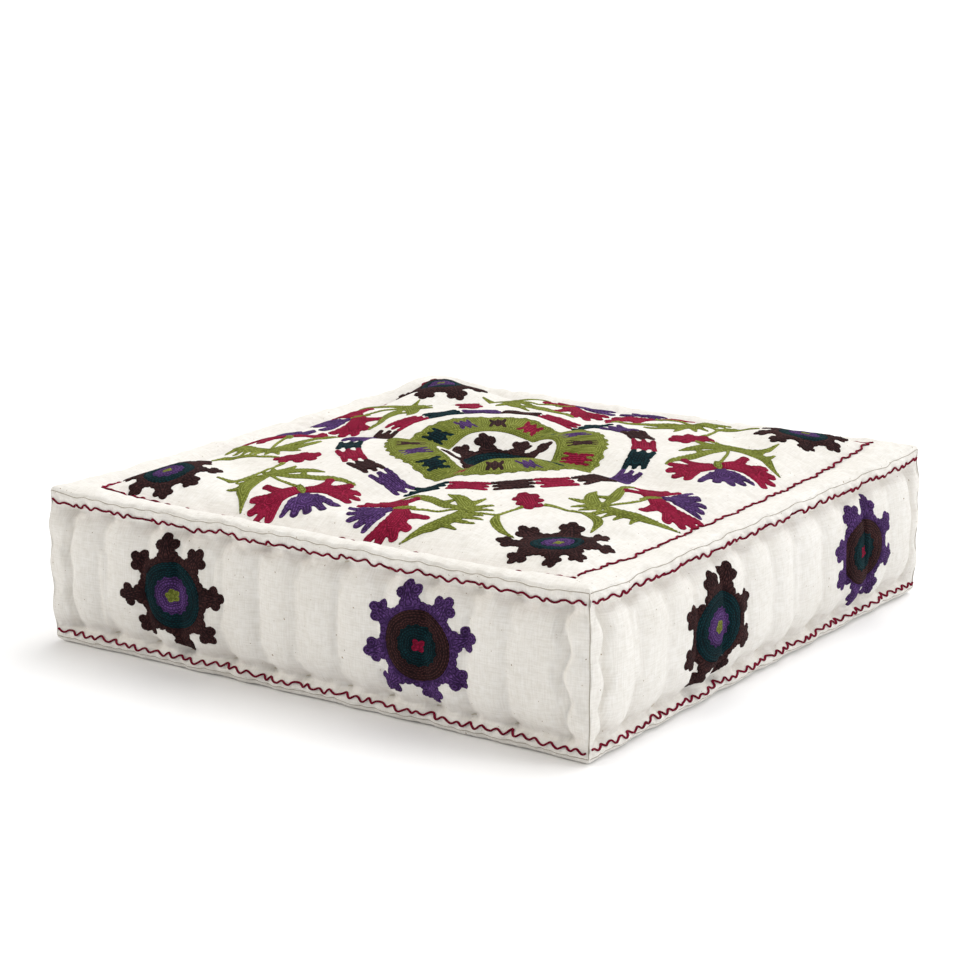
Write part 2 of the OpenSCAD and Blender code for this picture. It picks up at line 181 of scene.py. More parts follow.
# Height of the bottom over the distance from the edge.
BOTTOM_PROFILE = [
    (0, SEAM_LOW), (1.5, 2.4), (3.5, 0.9), (6, 0.2), (9, 0.0), (15, 0.1), (21, 1.5),
    (28, 4.4), (33, 5.6), (38, 4.4), (46, 1.4), (56, 0.1), (62, 0.0), (320, 0.0),
]
# How far a side stands out over the height: low seam, roll, tacks, body, tacks, roll, seam.
SIDE_PROFILE = [
    (5, 0.0), (6, 1.5), (8, 2.6), (11, 2.6), (14, 0.4), (16, -2.6), (18, -5.0), (21, -4.0),
    (27, -0.2), (37, 3.4), (55, 5.6), (75, 6.2), (95, 5.6), (113, 3.4), (123, -0.2),
    (129, -4.0), (132, -5.0), (134, -2.8), (136, 0.0), (139, 2.0), (143, 2.4), (145.6, 1.6),
    (147, 0.0),
]
# The plump lobes between the valleys: middle x and y, height and width.
LOBES = [
    (53, -53, 6.0, 50), (-79, 79, 8.5, 60), (-72, -72, 7.0, 58), (75, 75, 8.0, 58),
    (205, 205, 9.0, 62), (-215, 215, 5.5, 55), (-215, -215, 2.5, 50),
]
# The dips between the top's dome and its corners: directions, distance along the diagonal, depth.
CORNER_DIPS = [(1, -1, 272, 7.0), (1, 1, 240, 6.0), (-1, 1, 244, 17.0), (-1, -1, 244, 6.0)]
# How much less the border sinks at the corners: their directions and the fill.
CORNER_FILL = [(1, -1, 4.5), (1, 1, 9.0), (-1, 1, 13.0), (-1, -1, 5.0)]
# How much less the border sinks along each side.
SIDE_FILL = [0.5, 4.2, 1.5, 1.0]
# The valleys that run from the tuft to the middle of each side: direction and depth.
VALLEYS = [(0, 10.0), (90, 7.0), (180, 10.0), (270, 11.0)]
DIMPLE_R = 66.0
HOLLOW_R = 42.0  # of the bottom's hollow around the lower tuft
CORNER_FADE = 55.0
CORNER_PEAK = 2.5  # how far the corners' tips stand up


def fade(c):
    """1 at a corner, and 0 from CORNER_FADE away."""
    return 1 - smooth(c / CORNER_FADE)


def corner_out(z):
    """How far the corner seam stands out over its height."""
    return curve([(0, 0), (5, 0.5), (16, 0.5), (32, 2.4), (56, 1.2), (78, 2.8), (98, 1.4),
                  (116, 2.6), (134, 0.3), (146, 0.5), (160, 0.5)], z)


def seam_out(side, s, top):
    """How far a seam runs in and out along its side."""
    ends = smooth((HALF - abs(s)) / 60)
    pull = -2.0 * np.cos(np.pi * s / (2 * HALF))
    return ends * (pull + 1.1 * wobble(s, 11 + side + 4 * top, 75))


def seam_lift(side, s, top):
    """How far a seam runs up and down along its side."""
    ends = smooth((HALF - abs(s)) / 50)
    size = 1.2 if top else 0.8
    return ends * size * (wobble(s, 31 + side + 4 * top, 80) + (0 if top else 0.6))


def from_edge(x, y):
    """Distance from the nearest edge in plan."""
    return np.minimum(HALF - abs(x), HALF - abs(y))


def rounded_from_edge(x, y):
    """Distance from the nearest edge in plan, rounded off a little along the diagonals."""
    dx, dy = HALF - abs(x), HALF - abs(y)
    d = np.minimum(dx, dy)
    reach = 0.5 * np.maximum(d, 0)
    overlap = np.maximum(reach - abs(dx - dy), 0)
    return d - overlap**2 / (4 * reach + 1e-6)


def from_side(side, x, y):
    """Position along a side and distance from it, of a point in plan."""
    a = math.radians(SIDE_ANGLES[side])
    s = x * math.cos(a) + y * math.sin(a)
    out = x * math.sin(a) - y * math.cos(a)
    return s, HALF - out


def to_plan(side, s, out):
    """Point in plan, from a position along a side and the distance out from the middle."""
    a = math.radians(SIDE_ANGLES[side])
    return s * math.cos(a) + out * math.sin(a), s * math.sin(a) - out * math.cos(a)


def plan_shift(x, y, top):
    """How far the seams' wandering carries the cloth of the top or the bottom in plan."""
    shift_x, shift_y = np.zeros_like(x), np.zeros_like(y)
    z = SEAM_HIGH if top else SEAM_LOW
    for side in range(4):
        s, d = from_side(side, x, y)
        out = corner_out(z) * (fade(HALF - s) + fade(HALF + s)) + seam_out(side, s, top)
        move_x, move_y = to_plan(side, 0, out * fade(d))
        shift_x += move_x
        shift_y += move_y
    return shift_x, shift_y


def corner_peak(x, y):
    """The little rise of the top's four corner tips."""
    return CORNER_PEAK * np.exp(-((HALF - abs(x)) ** 2 + (HALF - abs(y)) ** 2) / (2 * 16.0**2))


def tack_places(side, row):
    """Positions along a side of the tacks in a row: 0 the low one, 1 the high one."""
    rng = np.random.default_rng(70 + side)
    ends = HALF - CORNER_ROLL[side]
    count = int(round(2 * ends / TACK_STEP))
    even = np.linspace(-ends, ends, count + 1)
    both = even + np.r_[0, rng.uniform(-5, 5, count - 1), 0]
    rng = np.random.default_rng(90 + side + 4 * row)
    return both + np.r_[0, rng.uniform(-4, 4, count - 1), 0]


def top_height(x, y):
    """Height of the stuffed top over its flat coordinates."""
    d = rounded_from_edge(x, y)
    z = curve(TOP_PROFILE, np.maximum(d, 0))
    for cx, cy, height, width in LOBES:
        z = z + height * np.exp(-((x - cx) ** 2 + (y - cy) ** 2) / (2 * width**2)) * smooth(d / 45)
    for angle, depth in VALLEYS:
        a = math.radians(angle)
        along = x * math.cos(a) + y * math.sin(a)
        across = y * math.cos(a) - x * math.sin(a)
        # it bends a little, widens on its way out and fades before the edge
        bend = 4 * np.sin(along / 40.0 + angle)
        width = 12 + 0.12 * np.maximum(along, 0)
        run = smooth((along - 20) / 40) * (1 - smooth((along - 170) / 90))
        z = z - depth * hump(across - bend, width) * run
    for sx, sy, fill in CORNER_FILL:
        away = np.hypot(x - sx * (HALF - 40), y - sy * (HALF - 40))
        z = z + fill * hump(away, 42) * smooth(d / 20) * (1 - smooth((d - 45) / 35))
    for sx, sy, distance, depth in CORNER_DIPS:
        along = (x * sx + y * sy) / math.sqrt(2)
        across = (x * sy - y * sx) / math.sqrt(2)
        bow = along - distance - across**2 / 260  # the dip curves around its corner
        z = z - depth * hump(bow, 30) * hump(across, 75) * smooth((d - 30) / 40)
    inner = smooth((d - 36) / 40)
    z = z + inner * (rumple(x, y, 5, 110) + 0.45 * rumple(x, y, 6, 42))
    r = np.hypot(x, y)
    z = SEAT + (z - SEAT) * smooth(r / DIMPLE_R)
    for side in range(4):
        s, across = from_side(side, x, y)
        near = smooth((HALF - abs(s) - across) / 8 + 0.5)  # 1 where this side is the nearest
        z = z + seam_lift(side, s, True) * np.maximum(1 - smooth(across / 25), 0)
        tacks = tack_places(side, 1)
        gap = np.min(abs(s[..., None] - tacks), axis=-1)
        z = z - near * 1.5 * hump(gap, 8) * hump(across - WAVE_INSET, 9)
        z = z + near * SIDE_FILL[side] * hump(across - WAVE_INSET, 13)
        # small slanting gathers in the roll
        ripple = np.sin(2 * np.pi * (s + 0.7 * across) / 21 + 2.2 * wobble(s, 51 + side, 120))
        strength = 0.55 + 0.45 * wobble(s, 61 + side, 150)
        z = z + near * 0.35 * strength * ripple * hump(across - 17, 9)
    return z + corner_peak(x, y)


def bottom_height(x, y):
    """Height of the bottom cloth over its flat coordinates."""
    d = rounded_from_edge(x, y)
    z = curve(BOTTOM_PROFILE, np.maximum(d, 0))
    r = np.hypot(x, y)
    z = z + HOLLOW * (1 - smooth(r / HOLLOW_R))
    for side in range(4):
        s, across = from_side(side, x, y)
        lift = np.maximum(seam_lift(side, s, False), 0.2 - SEAM_LOW)
        z = z + lift * np.maximum(1 - smooth(across / 9), 0)
    return np.maximum(z, 0)


def channels(side, s, z):
    """Soft upright channels between the two rows of tacks, with pits at the tacks."""
    low, high = tack_places(side, 0), tack_places(side, 1)
    t = np.clip((z - TACK_LOW) / (TACK_HIGH - TACK_LOW), 0, 1)
    rng = np.random.default_rng(120 + side)
    out = np.zeros_like(s)
    for i in range(len(low) - 1):
        bow = rng.uniform(-4, 4, 2)
        left = low[i] + (high[i] - low[i]) * t + bow[0] * np.sin(np.pi * t)
        right = low[i + 1] + (high[i + 1] - low[i + 1]) * t + bow[1] * np.sin(np.pi * t)
        f = (s - left) / (right - left)
        inside = (f >= 0) & (f < 1)
        crest = np.sin(np.pi * np.clip(f, 0, 1)) ** 0.85
        size = rng.uniform(0.45, 1.25)
        out = np.where(inside, size * (1.9 * crest - 1.0), out)
    # they fade towards the seams and the upright rolls, and are deepest near the tacks
    reach = smooth((z - 8) / 14) * smooth((142 - z) / 14)
    fold = 2.3 + 0.9 * hump(z - TACK_LOW - 2, 24) + 1.1 * hump(z - TACK_HIGH + 2, 24)
    inner = smooth((HALF - CORNER_ROLL[side] + 3 - abs(s)) / 12)
    out = out * reach * fold * inner
    for row, height in ((low, TACK_LOW), (high, TACK_HIGH)):
        for place in row:
            r2 = (s - place) ** 2 / 55 + (z - height) ** 2 / 34
            out = out - 4.0 * np.exp(-r2)
    return out


def side_out(side, s, z):
    """How far the cloth of a side stands out from the seams' plane."""
    c = HALF - abs(s)
    round_off = np.sqrt(np.clip(1 - (1 - np.clip(c, 0, 9) / 9) ** 2, 0, 1))
    out = curve(SIDE_PROFILE, z)
    out = out * np.where(out > 0, smooth((c + 8) / 48), smooth((c - 2) / 24))
    middle = smooth((z - 14) / 14) * smooth((136 - z) / 14)
    # the upright roll at the corner and the pinched line beside it, which wanders a little
    width = CORNER_ROLL[side] + 2.6 * np.cos(2 * np.pi * (z - 32) / 43 + side)
    roll = 0.8 * hump(c - 9, 7) - 6.5 * hump(c - width, 4.2)
    out = out + middle * roll
    out = out + channels(side, s, z)
    out = out + 0.5 * rumple(s, z, 140 + side, 60) * middle
    ripple = np.sin(2 * np.pi * (s + 1.2 * (z - 139)) / 19 + 2 * wobble(s, 55 + side, 110))
    out = out + 0.35 * ripple * (hump(z - 140, 5) + hump(z - 11, 4))
    return out * round_off


def side_points(side, s, z):
    """Cloth points of a side, from positions along it and heights."""
    high, low = smooth((z - 105) / 41), smooth((48 - z) / 43)
    left, right = fade(HALF + s), fade(HALF - s)
    out = corner_out(z) * (left + right)
    out = out + high * seam_out(side, s, True) + low * seam_out(side, s, False)
    out = out + side_out(side, s, z)
    along = s + corner_out(z) * (right - left)
    height = z + high * seam_lift(side, s, True)
    height = height + low * np.maximum(seam_lift(side, s, False), 0.2 - SEAM_LOW)
    height = height + corner_peak(s, -HALF) * smooth((z - 118) / 28)
    x, y = to_plan(side, along, HALF + out)
    return np.stack([x, y, height], axis=-1)


# ---- cloth panels ----


class Panel:
    """A piece of cloth on a grid of flat coordinates (u, v), with its stuffed shape."""

    def __init__(self, u, v, points, flip=False):
        self.u, self.v, self.points, self.flip = u, v, points, flip
        self.kept_normals = None

    def normals(self):
        """Outward directions of the cloth at its points."""
        n = unit(np.cross(np.gradient(self.points, axis=0), np.gradient(self.points, axis=1)))
        return -n if self.flip else n

    def finer(self):
        """The same panel with twice the grid lines, on a smooth surface through its points."""
        u, v = between(self.u), between(self.v)
        points = between(between(self.points).transpose(1, 0, 2)).transpose(1, 0, 2)
        return Panel(u, v, points, self.flip)

    def place(self, u, v, lift):
        """Points on the panel at flat coordinates, raised from the cloth by lift."""
        if self.kept_normals is None:
            self.kept_normals = self.normals()
        i = np.clip(np.searchsorted(self.u, u, side="right") - 1, 0, len(self.u) - 2)
        j = np.clip(np.searchsorted(self.v, v, side="right") - 1, 0, len(self.v) - 2)
        fu = ((u - self.u[i]) / (self.u[i + 1] - self.u[i]))[..., None]
        fv = ((v - self.v[j]) / (self.v[j + 1] - self.v[j]))[..., None]
        parts = []
        for grid in (self.points, self.kept_normals):
            low = grid[i, j] * (1 - fu) + grid[i + 1, j] * fu
            high = grid[i, j + 1] * (1 - fu) + grid[i + 1, j + 1] * fu
            parts.append(low * (1 - fv) + high * fv)
        return parts[0] + parts[1] * np.asarray(lift)[..., None]


def between(a):
    """Puts a point between each two along the first axis, on a Catmull-Rom curve."""
    before = np.concatenate([2 * a[:1] - a[1:2], a[:-2]])
    after = np.concatenate([a[2:], 2 * a[-1:] - a[-2:-1]])
    middle = (-before + 9 * a[:-1] + 9 * a[1:] - after) / 16
    made = np.empty((2 * len(a) - 1,) + a.shape[1:])
    made[::2] = a
    made[1::2] = middle
    return made


# Grid lines along a side and up it, closer together at the seams and tacks.
ALONG = spaced(
    [-300, -298.2, -290, -281, -279, -276, -267, 267, 276, 279, 281, 290, 298.2, 300],
    [0.6, 2.1, 3, 2, 3, 4.5, 5, 4.5, 3, 2, 3, 2.1, 0.6],
) * (HALF / 300)
UP = spaced(
    [SEAM_LOW, 9, TACK_LOW, 28, 122, TACK_HIGH, 142, SEAM_HIGH - 1.6, SEAM_HIGH],
    [1.3, 2.2, 3.3, 4.7, 3.3, 2.2, 1.7, 0.55],
)


def flat_panel(height, flip, top):
    """The top or the bottom."""
    x, y = np.meshgrid(ALONG, ALONG, indexing="ij")
    shift_x, shift_y = plan_shift(x, y, top)
    return Panel(ALONG, ALONG, np.stack([x + shift_x, y + shift_y, height(x, y)], -1), flip)


def make_panels():
    """The six panels in their stuffed shape, before they settle."""
    panels = {"top": flat_panel(top_height, False, True)}
    panels["bottom"] = flat_panel(bottom_height, True, False)
    for side in range(4):
        s, z = np.meshgrid(ALONG, UP, indexing="ij")
        panels[SIDE_NAMES[side]] = Panel(ALONG, UP, side_points(side, s, z))
    return panels


# ---- cloth simulation ----

SIM_FRAMES = 14
SIM_CAP = 5.0  # the furthest that a point may move
SIM_PRESSURE = 2.0  # of the stuffing against the cloth


def simulate(panel, pinned, soft, slack):
    """Lets the cloth of a panel settle under the pressure of the stuffing."""
    nu, nv = len(panel.u), len(panel.v)
    start = panel.points.reshape(-1, 3)
    quads = grid_quads(nu, nv).reshape(-1, 4)
    mesh = bpy.data.meshes.new("settling")
    mesh.from_pydata((start * MM).tolist(), [], quads.tolist())
    cloth = bpy.data.objects.new("settling", mesh)
    bpy.context.scene.collection.objects.link(cloth)
    weights = np.where(pinned, 1.0, soft).reshape(-1)
    group = cloth.vertex_groups.new(name="hold")
    for value in np.unique(weights):
        group.add(np.flatnonzero(weights == value).tolist(), float(value), "REPLACE")
    settle = cloth.modifiers.new("settle", "CLOTH")
    settings = settle.settings
    settings.quality = 4
    settings.mass = 0.25
    settings.tension_stiffness = 25
    settings.compression_stiffness = 25
    settings.shear_stiffness = 8
    settings.bending_stiffness = 0.6
    settings.vertex_group_mass = "hold"
    settings.pin_stiffness = 1.0
    settings.shrink_min = -slack
    settings.use_pressure = True
    settings.uniform_pressure_force = SIM_PRESSURE
    settings.effector_weights.gravity = 0
    settle.collision_settings.use_collision = False
    settle.point_cache.frame_start = 1
    settle.point_cache.frame_end = SIM_FRAMES
    scene = bpy.context.scene
    for number in range(1, SIM_FRAMES + 1):
        scene.frame_set(number)
    settled = cloth.evaluated_get(bpy.context.evaluated_depsgraph_get()).data
    points = np.empty(len(settled.vertices) * 3)
    settled.vertices.foreach_get("co", points)
    bpy.data.objects.remove(cloth)
    scene.frame_set(1)
    moved = points.reshape(-1, 3) / MM - start
    length = np.linalg.norm(moved, axis=1, keepdims=True)
    moved *= SIM_CAP * np.tanh(length / SIM_CAP) / np.maximum(length, 1e-9)
    panel.points = (start + moved).reshape(nu, nv, 3)


def settle_all(panels):
    """Settles the top and the sides, held at their seams, wave lines and tacks."""
    u, v = np.meshgrid(ALONG, ALONG, indexing="ij")
    d = from_edge(u, v)
    held = (d < 1) | (abs(d - WAVE_INSET) < 1) | (np.hypot(u, v) < 8)
    soft = np.where(d < WAVE_INSET, 0.5, 0.12)
    simulate(panels["top"], held, soft, 0.004)
    for side, name in enumerate(SIDE_NAMES):
        s, z = np.meshgrid(ALONG, UP, indexing="ij")
        held = (HALF - abs(s) < 1) | (z < SEAM_LOW + 1) | (z > SEAM_HIGH - 1)
        for row, height in TACK_ROWS:
            for place in tack_places(side, row):
                held |= np.hypot(s - place, z - height) < 3.6
        soft = np.where((z < TACK_LOW) | (z > TACK_HIGH), 0.4, 0.1)
        simulate(panels[name], held, soft, 0.011)


# ---- meshes ----


def to_mesh(name, points, faces, uvs=None, normals=None):
    """A smooth mesh object from points in millimetres."""
    mesh = bpy.data.meshes.new(name)
    mesh.from_pydata((points * MM).tolist(), [], faces)
    if uvs is not None:
        layer = mesh.uv_layers.new(name="flat")
        loops = np.empty(len(mesh.loops), int)
        mesh.loops.foreach_get("vertex_index", loops)
        layer.data.foreach_set("uv", (uvs[loops] * MM).astype(np.float32).ravel())
    mesh.shade_smooth()
    if normals is not None:
        mesh.normals_split_custom_set_from_vertices(normals.tolist())
    mesh.validate()
    thing = bpy.data.objects.new(name, mesh)
    bpy.context.scene.collection.objects.link(thing)
    return thing


def dress(piece, slot, material, *nodes):
    """Gives a piece its body and material, and hides the CAD nodes that it stands for. The slot is
    not used.
    """
    if nodes:
        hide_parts(*nodes)
    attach(piece, "root")
    piece.data.materials.append(material)
    return piece


class Shell:
    """Collects parts of panels and makes one closed sheet of cloth of them."""

    def __init__(self):
        self.points, self.normals, self.uvs, self.quads, self.count = [], [], [], [], 0

    def add(self, panel, cells):
        """Adds the panel's cells for which cells[i, j] is true."""
        quads = grid_quads(len(panel.u), len(panel.v))[cells]
        if panel.flip:
            quads = quads[:, ::-1]
        used, quads = np.unique(quads, return_inverse=True)
        self.points.append(panel.points.reshape(-1, 3)[used])
        self.normals.append(panel.normals().reshape(-1, 3)[used])
        u, v = np.meshgrid(panel.u, panel.v, indexing="ij")
        self.uvs.append(np.stack([u, v], -1).reshape(-1, 2)[used])
        self.quads.append(quads.reshape(-1, 4) + self.count)
        self.count += len(used)

    def joined(self):
        """Points, normals, flat coordinates and quads, with the points on a seam made one."""
        points = np.concatenate(self.points)
        keys = np.round(points * JOIN_PER_MM).astype(np.int64)
        _, first, same = np.unique(keys, axis=0, return_index=True, return_inverse=True)
        same = same.reshape(-1)
        normals = np.zeros((len(first), 3))
        np.add.at(normals, same, np.concatenate(self.normals))
        uvs = np.concatenate(self.uvs)[first]
        return points[first], unit(normals), uvs, same[np.concatenate(self.quads)]

    def make(self, name):
        """A sheet as thick as the canvas."""
        outer, normals, uvs, quads = self.joined()
        points = np.concatenate([outer, outer - normals * CLOTH])
        return to_mesh(name, points, closed_faces(quads, len(outer)).tolist(),
                       np.concatenate([uvs, uvs]), np.concatenate([normals, -normals]))


def middles(lines):
    """The middles between grid lines."""
    return (lines[:-1] + lines[1:]) / 2


def area_of(panel, cells):
    """Flat area of some of a panel's cells, in square metres."""
    areas = np.outer(np.diff(panel.u), np.diff(panel.v))
    return float(areas[cells].sum() * MM * MM)


def make_canvas(name, node, *parts):
    """A piece of the cover, from pairs of a panel and the cells that are taken of it."""
    shell = Shell()
    for panel, cells in parts:
        shell.add(panel, cells)
    return dress(shell.make(name), "canvas", CANVAS, node)


def make_cover(panels):
    """The canvas cover: top, bottom and side panels, and the twelve rolls between them."""
    x, y = np.meshgrid(middles(panels["top"].u), middles(panels["top"].v), indexing="ij")
    inside = from_edge(x, y) > WAVE_INSET
    nearest = np.argmin(np.stack([from_side(side, x, y)[1] for side in range(4)]), axis=0)
    for name in ("top", "bottom"):
        piece = make_canvas(f"{name}_cloth", f"{name}_panel", (panels[name], inside))
        area_of(panels[name], inside)
    s, z = np.meshgrid(middles(panels["front"].u), middles(panels["front"].v), indexing="ij")
    between_tacks = (z > TACK_LOW) & (z < TACK_HIGH)
    for side, name in enumerate(SIDE_NAMES):
        body = between_tacks & (HALF - abs(s) > CORNER_ROLL[side])
        piece = make_canvas(f"{name}_cloth", f"{name}_panel", (panels[name], body))
        for level, band in (("top", z > TACK_HIGH), ("bottom", z < TACK_LOW)):
            piece = make_canvas(f"{level}_edge_roll_{name}", f"{level}_roll_{name}",
                                (panels[name], band), (panels[level], ~inside & (nearest == side)))
    for names in (("front", "left"), ("front", "right"), ("back", "right"), ("back", "left")):
        parts = []
        for name, other in (names, names[::-1]):
            side = SIDE_NAMES.index(name)
            turn = SIDE_ANGLES[SIDE_NAMES.index(other)] - SIDE_ANGLES[side]
            near = HALF - s * np.sign(math.sin(math.radians(turn))) < CORNER_ROLL[side]
            parts.append((panels[name], near & between_tacks))
        ends = "_".join(names)
        piece = make_canvas(f"corner_edge_roll_{ends}", f"corner_roll_{ends}", *parts)


def make_stuffing(panels):
    """The cotton inside the cover: the cover's own shape, drawn in by a few millimetres."""
    shell = Shell()
    for panel in panels.values():
        shell.add(panel, np.ones((len(panel.u) - 1, len(panel.v) - 1), bool))
    outer, normals, _, quads = shell.joined()
    piece = to_mesh("stuffing", outer - normals * STUFFING_INSET, quads.tolist())
    dress(piece, "cotton_filling", COTTON, "filling")


# ---- embroidery outlines: each gives, in mm, the depth inside the outline and the run along it ----


def disc(cx, cy, r):
    """A round outline."""
    def field(x, y):
        return r - np.hypot(x - cx, y - cy), np.arctan2(y - cy, x - cx) * r

    return field


def stroke(path, widths):
    """A line through the points of a path, with its half width at each."""
    path = np.array(path, float)
    widths = np.array(widths, float)

    def field(x, y):
        best = np.full(x.shape, -1e9)
        run = np.zeros(x.shape)
        passed = 0.0
        for k in range(len(path) - 1):
            step = path[k + 1] - path[k]
            length = max(np.hypot(*step), 1e-6)
            t = ((x - path[k][0]) * step[0] + (y - path[k][1]) * step[1]) / length**2
            t = np.clip(t, 0, 1)
            gap = np.hypot(x - path[k][0] - t * step[0], y - path[k][1] - t * step[1])
            depth = widths[k] + (widths[k + 1] - widths[k]) * t - gap
            better = depth > best
            best = np.where(better, depth, best)
            run = np.where(better, passed + t * length, run)
            passed += length
        return best, run

    return field


def union(*fields):
    """Several outlines as one."""
    def field(x, y):
        best, run = fields[0](x, y)
        for other in fields[1:]:
            depth, along = other(x, y)
            run = np.where(depth > best, along, run)
            best = np.maximum(best, depth)
        return best, run

    return field


def without(field, cut, overlap=1.2):
    """The first outline, less the second, which it still overlaps a little."""
    def made(x, y):
        depth, run = field(x, y)
        return np.minimum(depth, overlap - cut(x, y)[0]), run

    return made


def moved(field, cx, cy, angle):
    """An outline turned by an angle in degrees and moved to (cx, cy)."""
    a = math.radians(angle)

    def made(x, y):
        px = (x - cx) * math.cos(a) + (y - cy) * math.sin(a)
        py = (y - cy) * math.cos(a) - (x - cx) * math.sin(a)
        return field(px, py)

    return made


def pressed(field, cy, amount):
    """An outline around the height cy, pressed together along y."""
    def made(x, y):
        depth, run = field(x, cy + (y - cy) / amount)
        return depth * (0.5 + 0.5 * amount), run

    return made


def drawn_in(field, cx, cy, amount):
    """An outline around (cx, cy) whose half towards the nearest corner is drawn in."""
    def made(x, y):
        dx, dy = x - cx, y - cy
        dx = np.where(dx * cx > 0, dx / amount, dx)
        dy = np.where(dy * cy > 0, dy / amount, dy)
        depth, run = field(cx + dx, cy + dy)
        return depth * amount, run

    return made


THINNEST = 0.3  # half width of a stroke where it is thinnest


def bent(path):
    """A smoother version of a path of points."""
    return between(between(np.array(path, float)))


def brush(path, widths):
    """A stroke along a smooth curve."""
    widths = bent([[width] for width in widths])[:, 0]
    return stroke(bent(path), np.maximum(widths, THINNEST))


def star(r, seed):
    """A star whose arms end in three lobes, with a bumpy edge between the arms."""
    rng = np.random.default_rng(seed)
    parts = [disc(0, 0, 0.59 * r)]
    for k in range(STAR_ARMS):
        a = 2 * np.pi * (k + rng.uniform(-0.04, 0.04)) / STAR_ARMS
        reach = r * rng.uniform(0.95, 1.03)
        lean = rng.uniform(-0.12, 0.12)

        def at(along, across, a=a, lean=lean):
            turn = a + lean * along / r
            return (along * np.cos(turn) - across * np.sin(turn),
                    along * np.sin(turn) + across * np.cos(turn))

        parts.append(stroke([at(0.5 * r, 0), at(0.86 * reach, 0)], [0.15 * r, 0.07 * r]))
        parts.append(disc(*at(0.92 * reach, 0), 0.09 * r))
        for s in (-1, 1):
            parts.append(disc(*at(0.825 * reach, s * 0.12 * r), 0.088 * r))
            parts.append(disc(*at(0.665 * r, s * 0.10 * r), 0.075 * r))
            parts.append(disc(*at(0.58 * r, s * 0.185 * r), 0.072 * r))
    return union(*parts)


def scalloped(r, count, bump, seed):
    """A disc with a number of round bumps along its edge."""
    rng = np.random.default_rng(seed)
    parts = [disc(0, 0, r - bump * 0.55)]
    for k in range(count):
        a = 2 * np.pi * (k + rng.uniform(-0.12, 0.12)) / count
        parts.append(disc((r - bump) * np.cos(a), (r - bump) * np.sin(a), bump))
    return union(*parts)


def rosette(r, petals):
    """A small centre with round petals."""
    parts = [disc(0, 0, r * 0.55)]
    for k in range(petals):
        a = 2 * np.pi * k / petals + 0.4
        parts.append(disc(r * 0.56 * np.cos(a), r * 0.56 * np.sin(a), r * 0.44))
    return union(*parts)


def fingered(length, width, seed, waist):
    """A motif with three rounded fingers at each end and a narrower waist, along its x axis."""
    rng = np.random.default_rng(seed)
    core = (0.5 * waist + 0.02) * width
    parts = [stroke([(-0.2 * length, 0), (0.2 * length, 0)], [core, core])]
    for s in (-1, 1):
        for across in (-0.36, 0, 0.36):
            tip = (s * length * rng.uniform(0.41, 0.46), across * width * rng.uniform(0.98, 1.1))
            parts.append(stroke([(s * 0.08 * length, across * 0.6 * waist * width / 0.34), tip],
                                [0.15 * width, 0.12 * width]))
    return union(*parts)


def bud(turn):
    """A bud with round lobes along its edge, lengthwise on the quadrant's diagonal."""
    lobes = [(118, 128, 6), (128, 125, 5.5), (138, 133, 5.5), (146, 145, 5.5), (142, 155, 5),
             (131, 150, 5.5), (120, 140, 5.5)]
    parts = [stroke([turn(124, 134), turn(138, 148)], [9.5, 9.0])]
    parts += [disc(*turn(x, y), r) for x, y, r in lobes]
    return union(*parts)


# ---- embroidery and thread meshes ----

CELL = 1.25  # size of an embroidery mesh's cells
SUNK = 0.5  # how deep the back of the embroidery lies in the canvas


class Collected:
    """Collects parts and makes one piece of them."""

    def __init__(self, name, slot, material, *nodes):
        self.name, self.slot, self.material, self.nodes = name, slot, material, nodes
        self.points, self.faces, self.uvs, self.count = [], [], [], 0

    def collect(self, points, quads, uvs, ends=()):
        """Adds a part, from its own points, quads, flat coordinates and end faces."""
        self.points.append(points)
        self.uvs.append(uvs)
        self.faces += (quads + self.count).tolist()
        self.faces += [[n + self.count for n in end] for end in ends]
        self.count += len(points)

    def make(self):
        """The piece, of all that was collected."""
        piece = to_mesh(self.name, np.concatenate(self.points), self.faces,
                        np.concatenate(self.uvs))
        return dress(piece, self.slot, self.material, *self.nodes)


class Stitching(Collected):
    """The embroidery of one piece: outlines filled with raised rows of chain stitch."""

    def add(self, panel, field, cx, cy, half):
        """Adds an outline that lies within half of (cx, cy) on a panel."""
        x, y = np.meshgrid(np.arange(cx - half, cx + half + CELL, CELL),
                           np.arange(cy - half, cy + half + CELL, CELL), indexing="ij")
        depth, run = field(x, y)
        nu, nv = depth.shape
        cells = (depth[:-1, :-1] + depth[1:, :-1] + depth[1:, 1:] + depth[:-1, 1:]) > 0
        if not cells.any():
            return
        # points at the edge move onto the outline
        touching = np.zeros((nu, nv), int)
        for i, j in ((0, 0), (1, 0), (1, 1), (0, 1)):
            touching[i:nu - 1 + i, j:nv - 1 + j] += cells
        edge = (touching > 0) & (touching < 4)
        slope_x, slope_y = np.gradient(depth, CELL)
        size = np.maximum(slope_x**2 + slope_y**2, 0.2)
        back = np.clip(depth / size, -0.8 * CELL, 0.8 * CELL) * edge
        x, y = x - back * slope_x, y - back * slope_y
        depth = np.where(edge, 0, np.maximum(depth, 0.3))
        # the yarn bulges up from the edge and has a ridge for each row
        full = np.clip(depth / 1.1, 0, 1)
        bulge = np.sqrt(np.clip(1 - (1 - full) ** 2, 0, 1))
        ridge = 0.16 * np.cos(2 * np.pi * depth / (2 * ROW)) * full
        lift = (YARN + ridge) * bulge - 0.35 * (1 - bulge)
        used, quads = np.unique(grid_quads(nu, nv)[cells], return_inverse=True)
        quads = quads.reshape(-1, 4)
        u, v = x.ravel()[used], y.ravel()[used]
        face = panel.place(u, v, lift.ravel()[used])
        base = panel.place(u, v, np.full(len(used), -SUNK))
        flat = np.stack([run.ravel()[used], depth.ravel()[used]], -1)
        self.collect(np.concatenate([face, base]), closed_faces(quads, len(used)),
                     np.concatenate([flat, flat]))


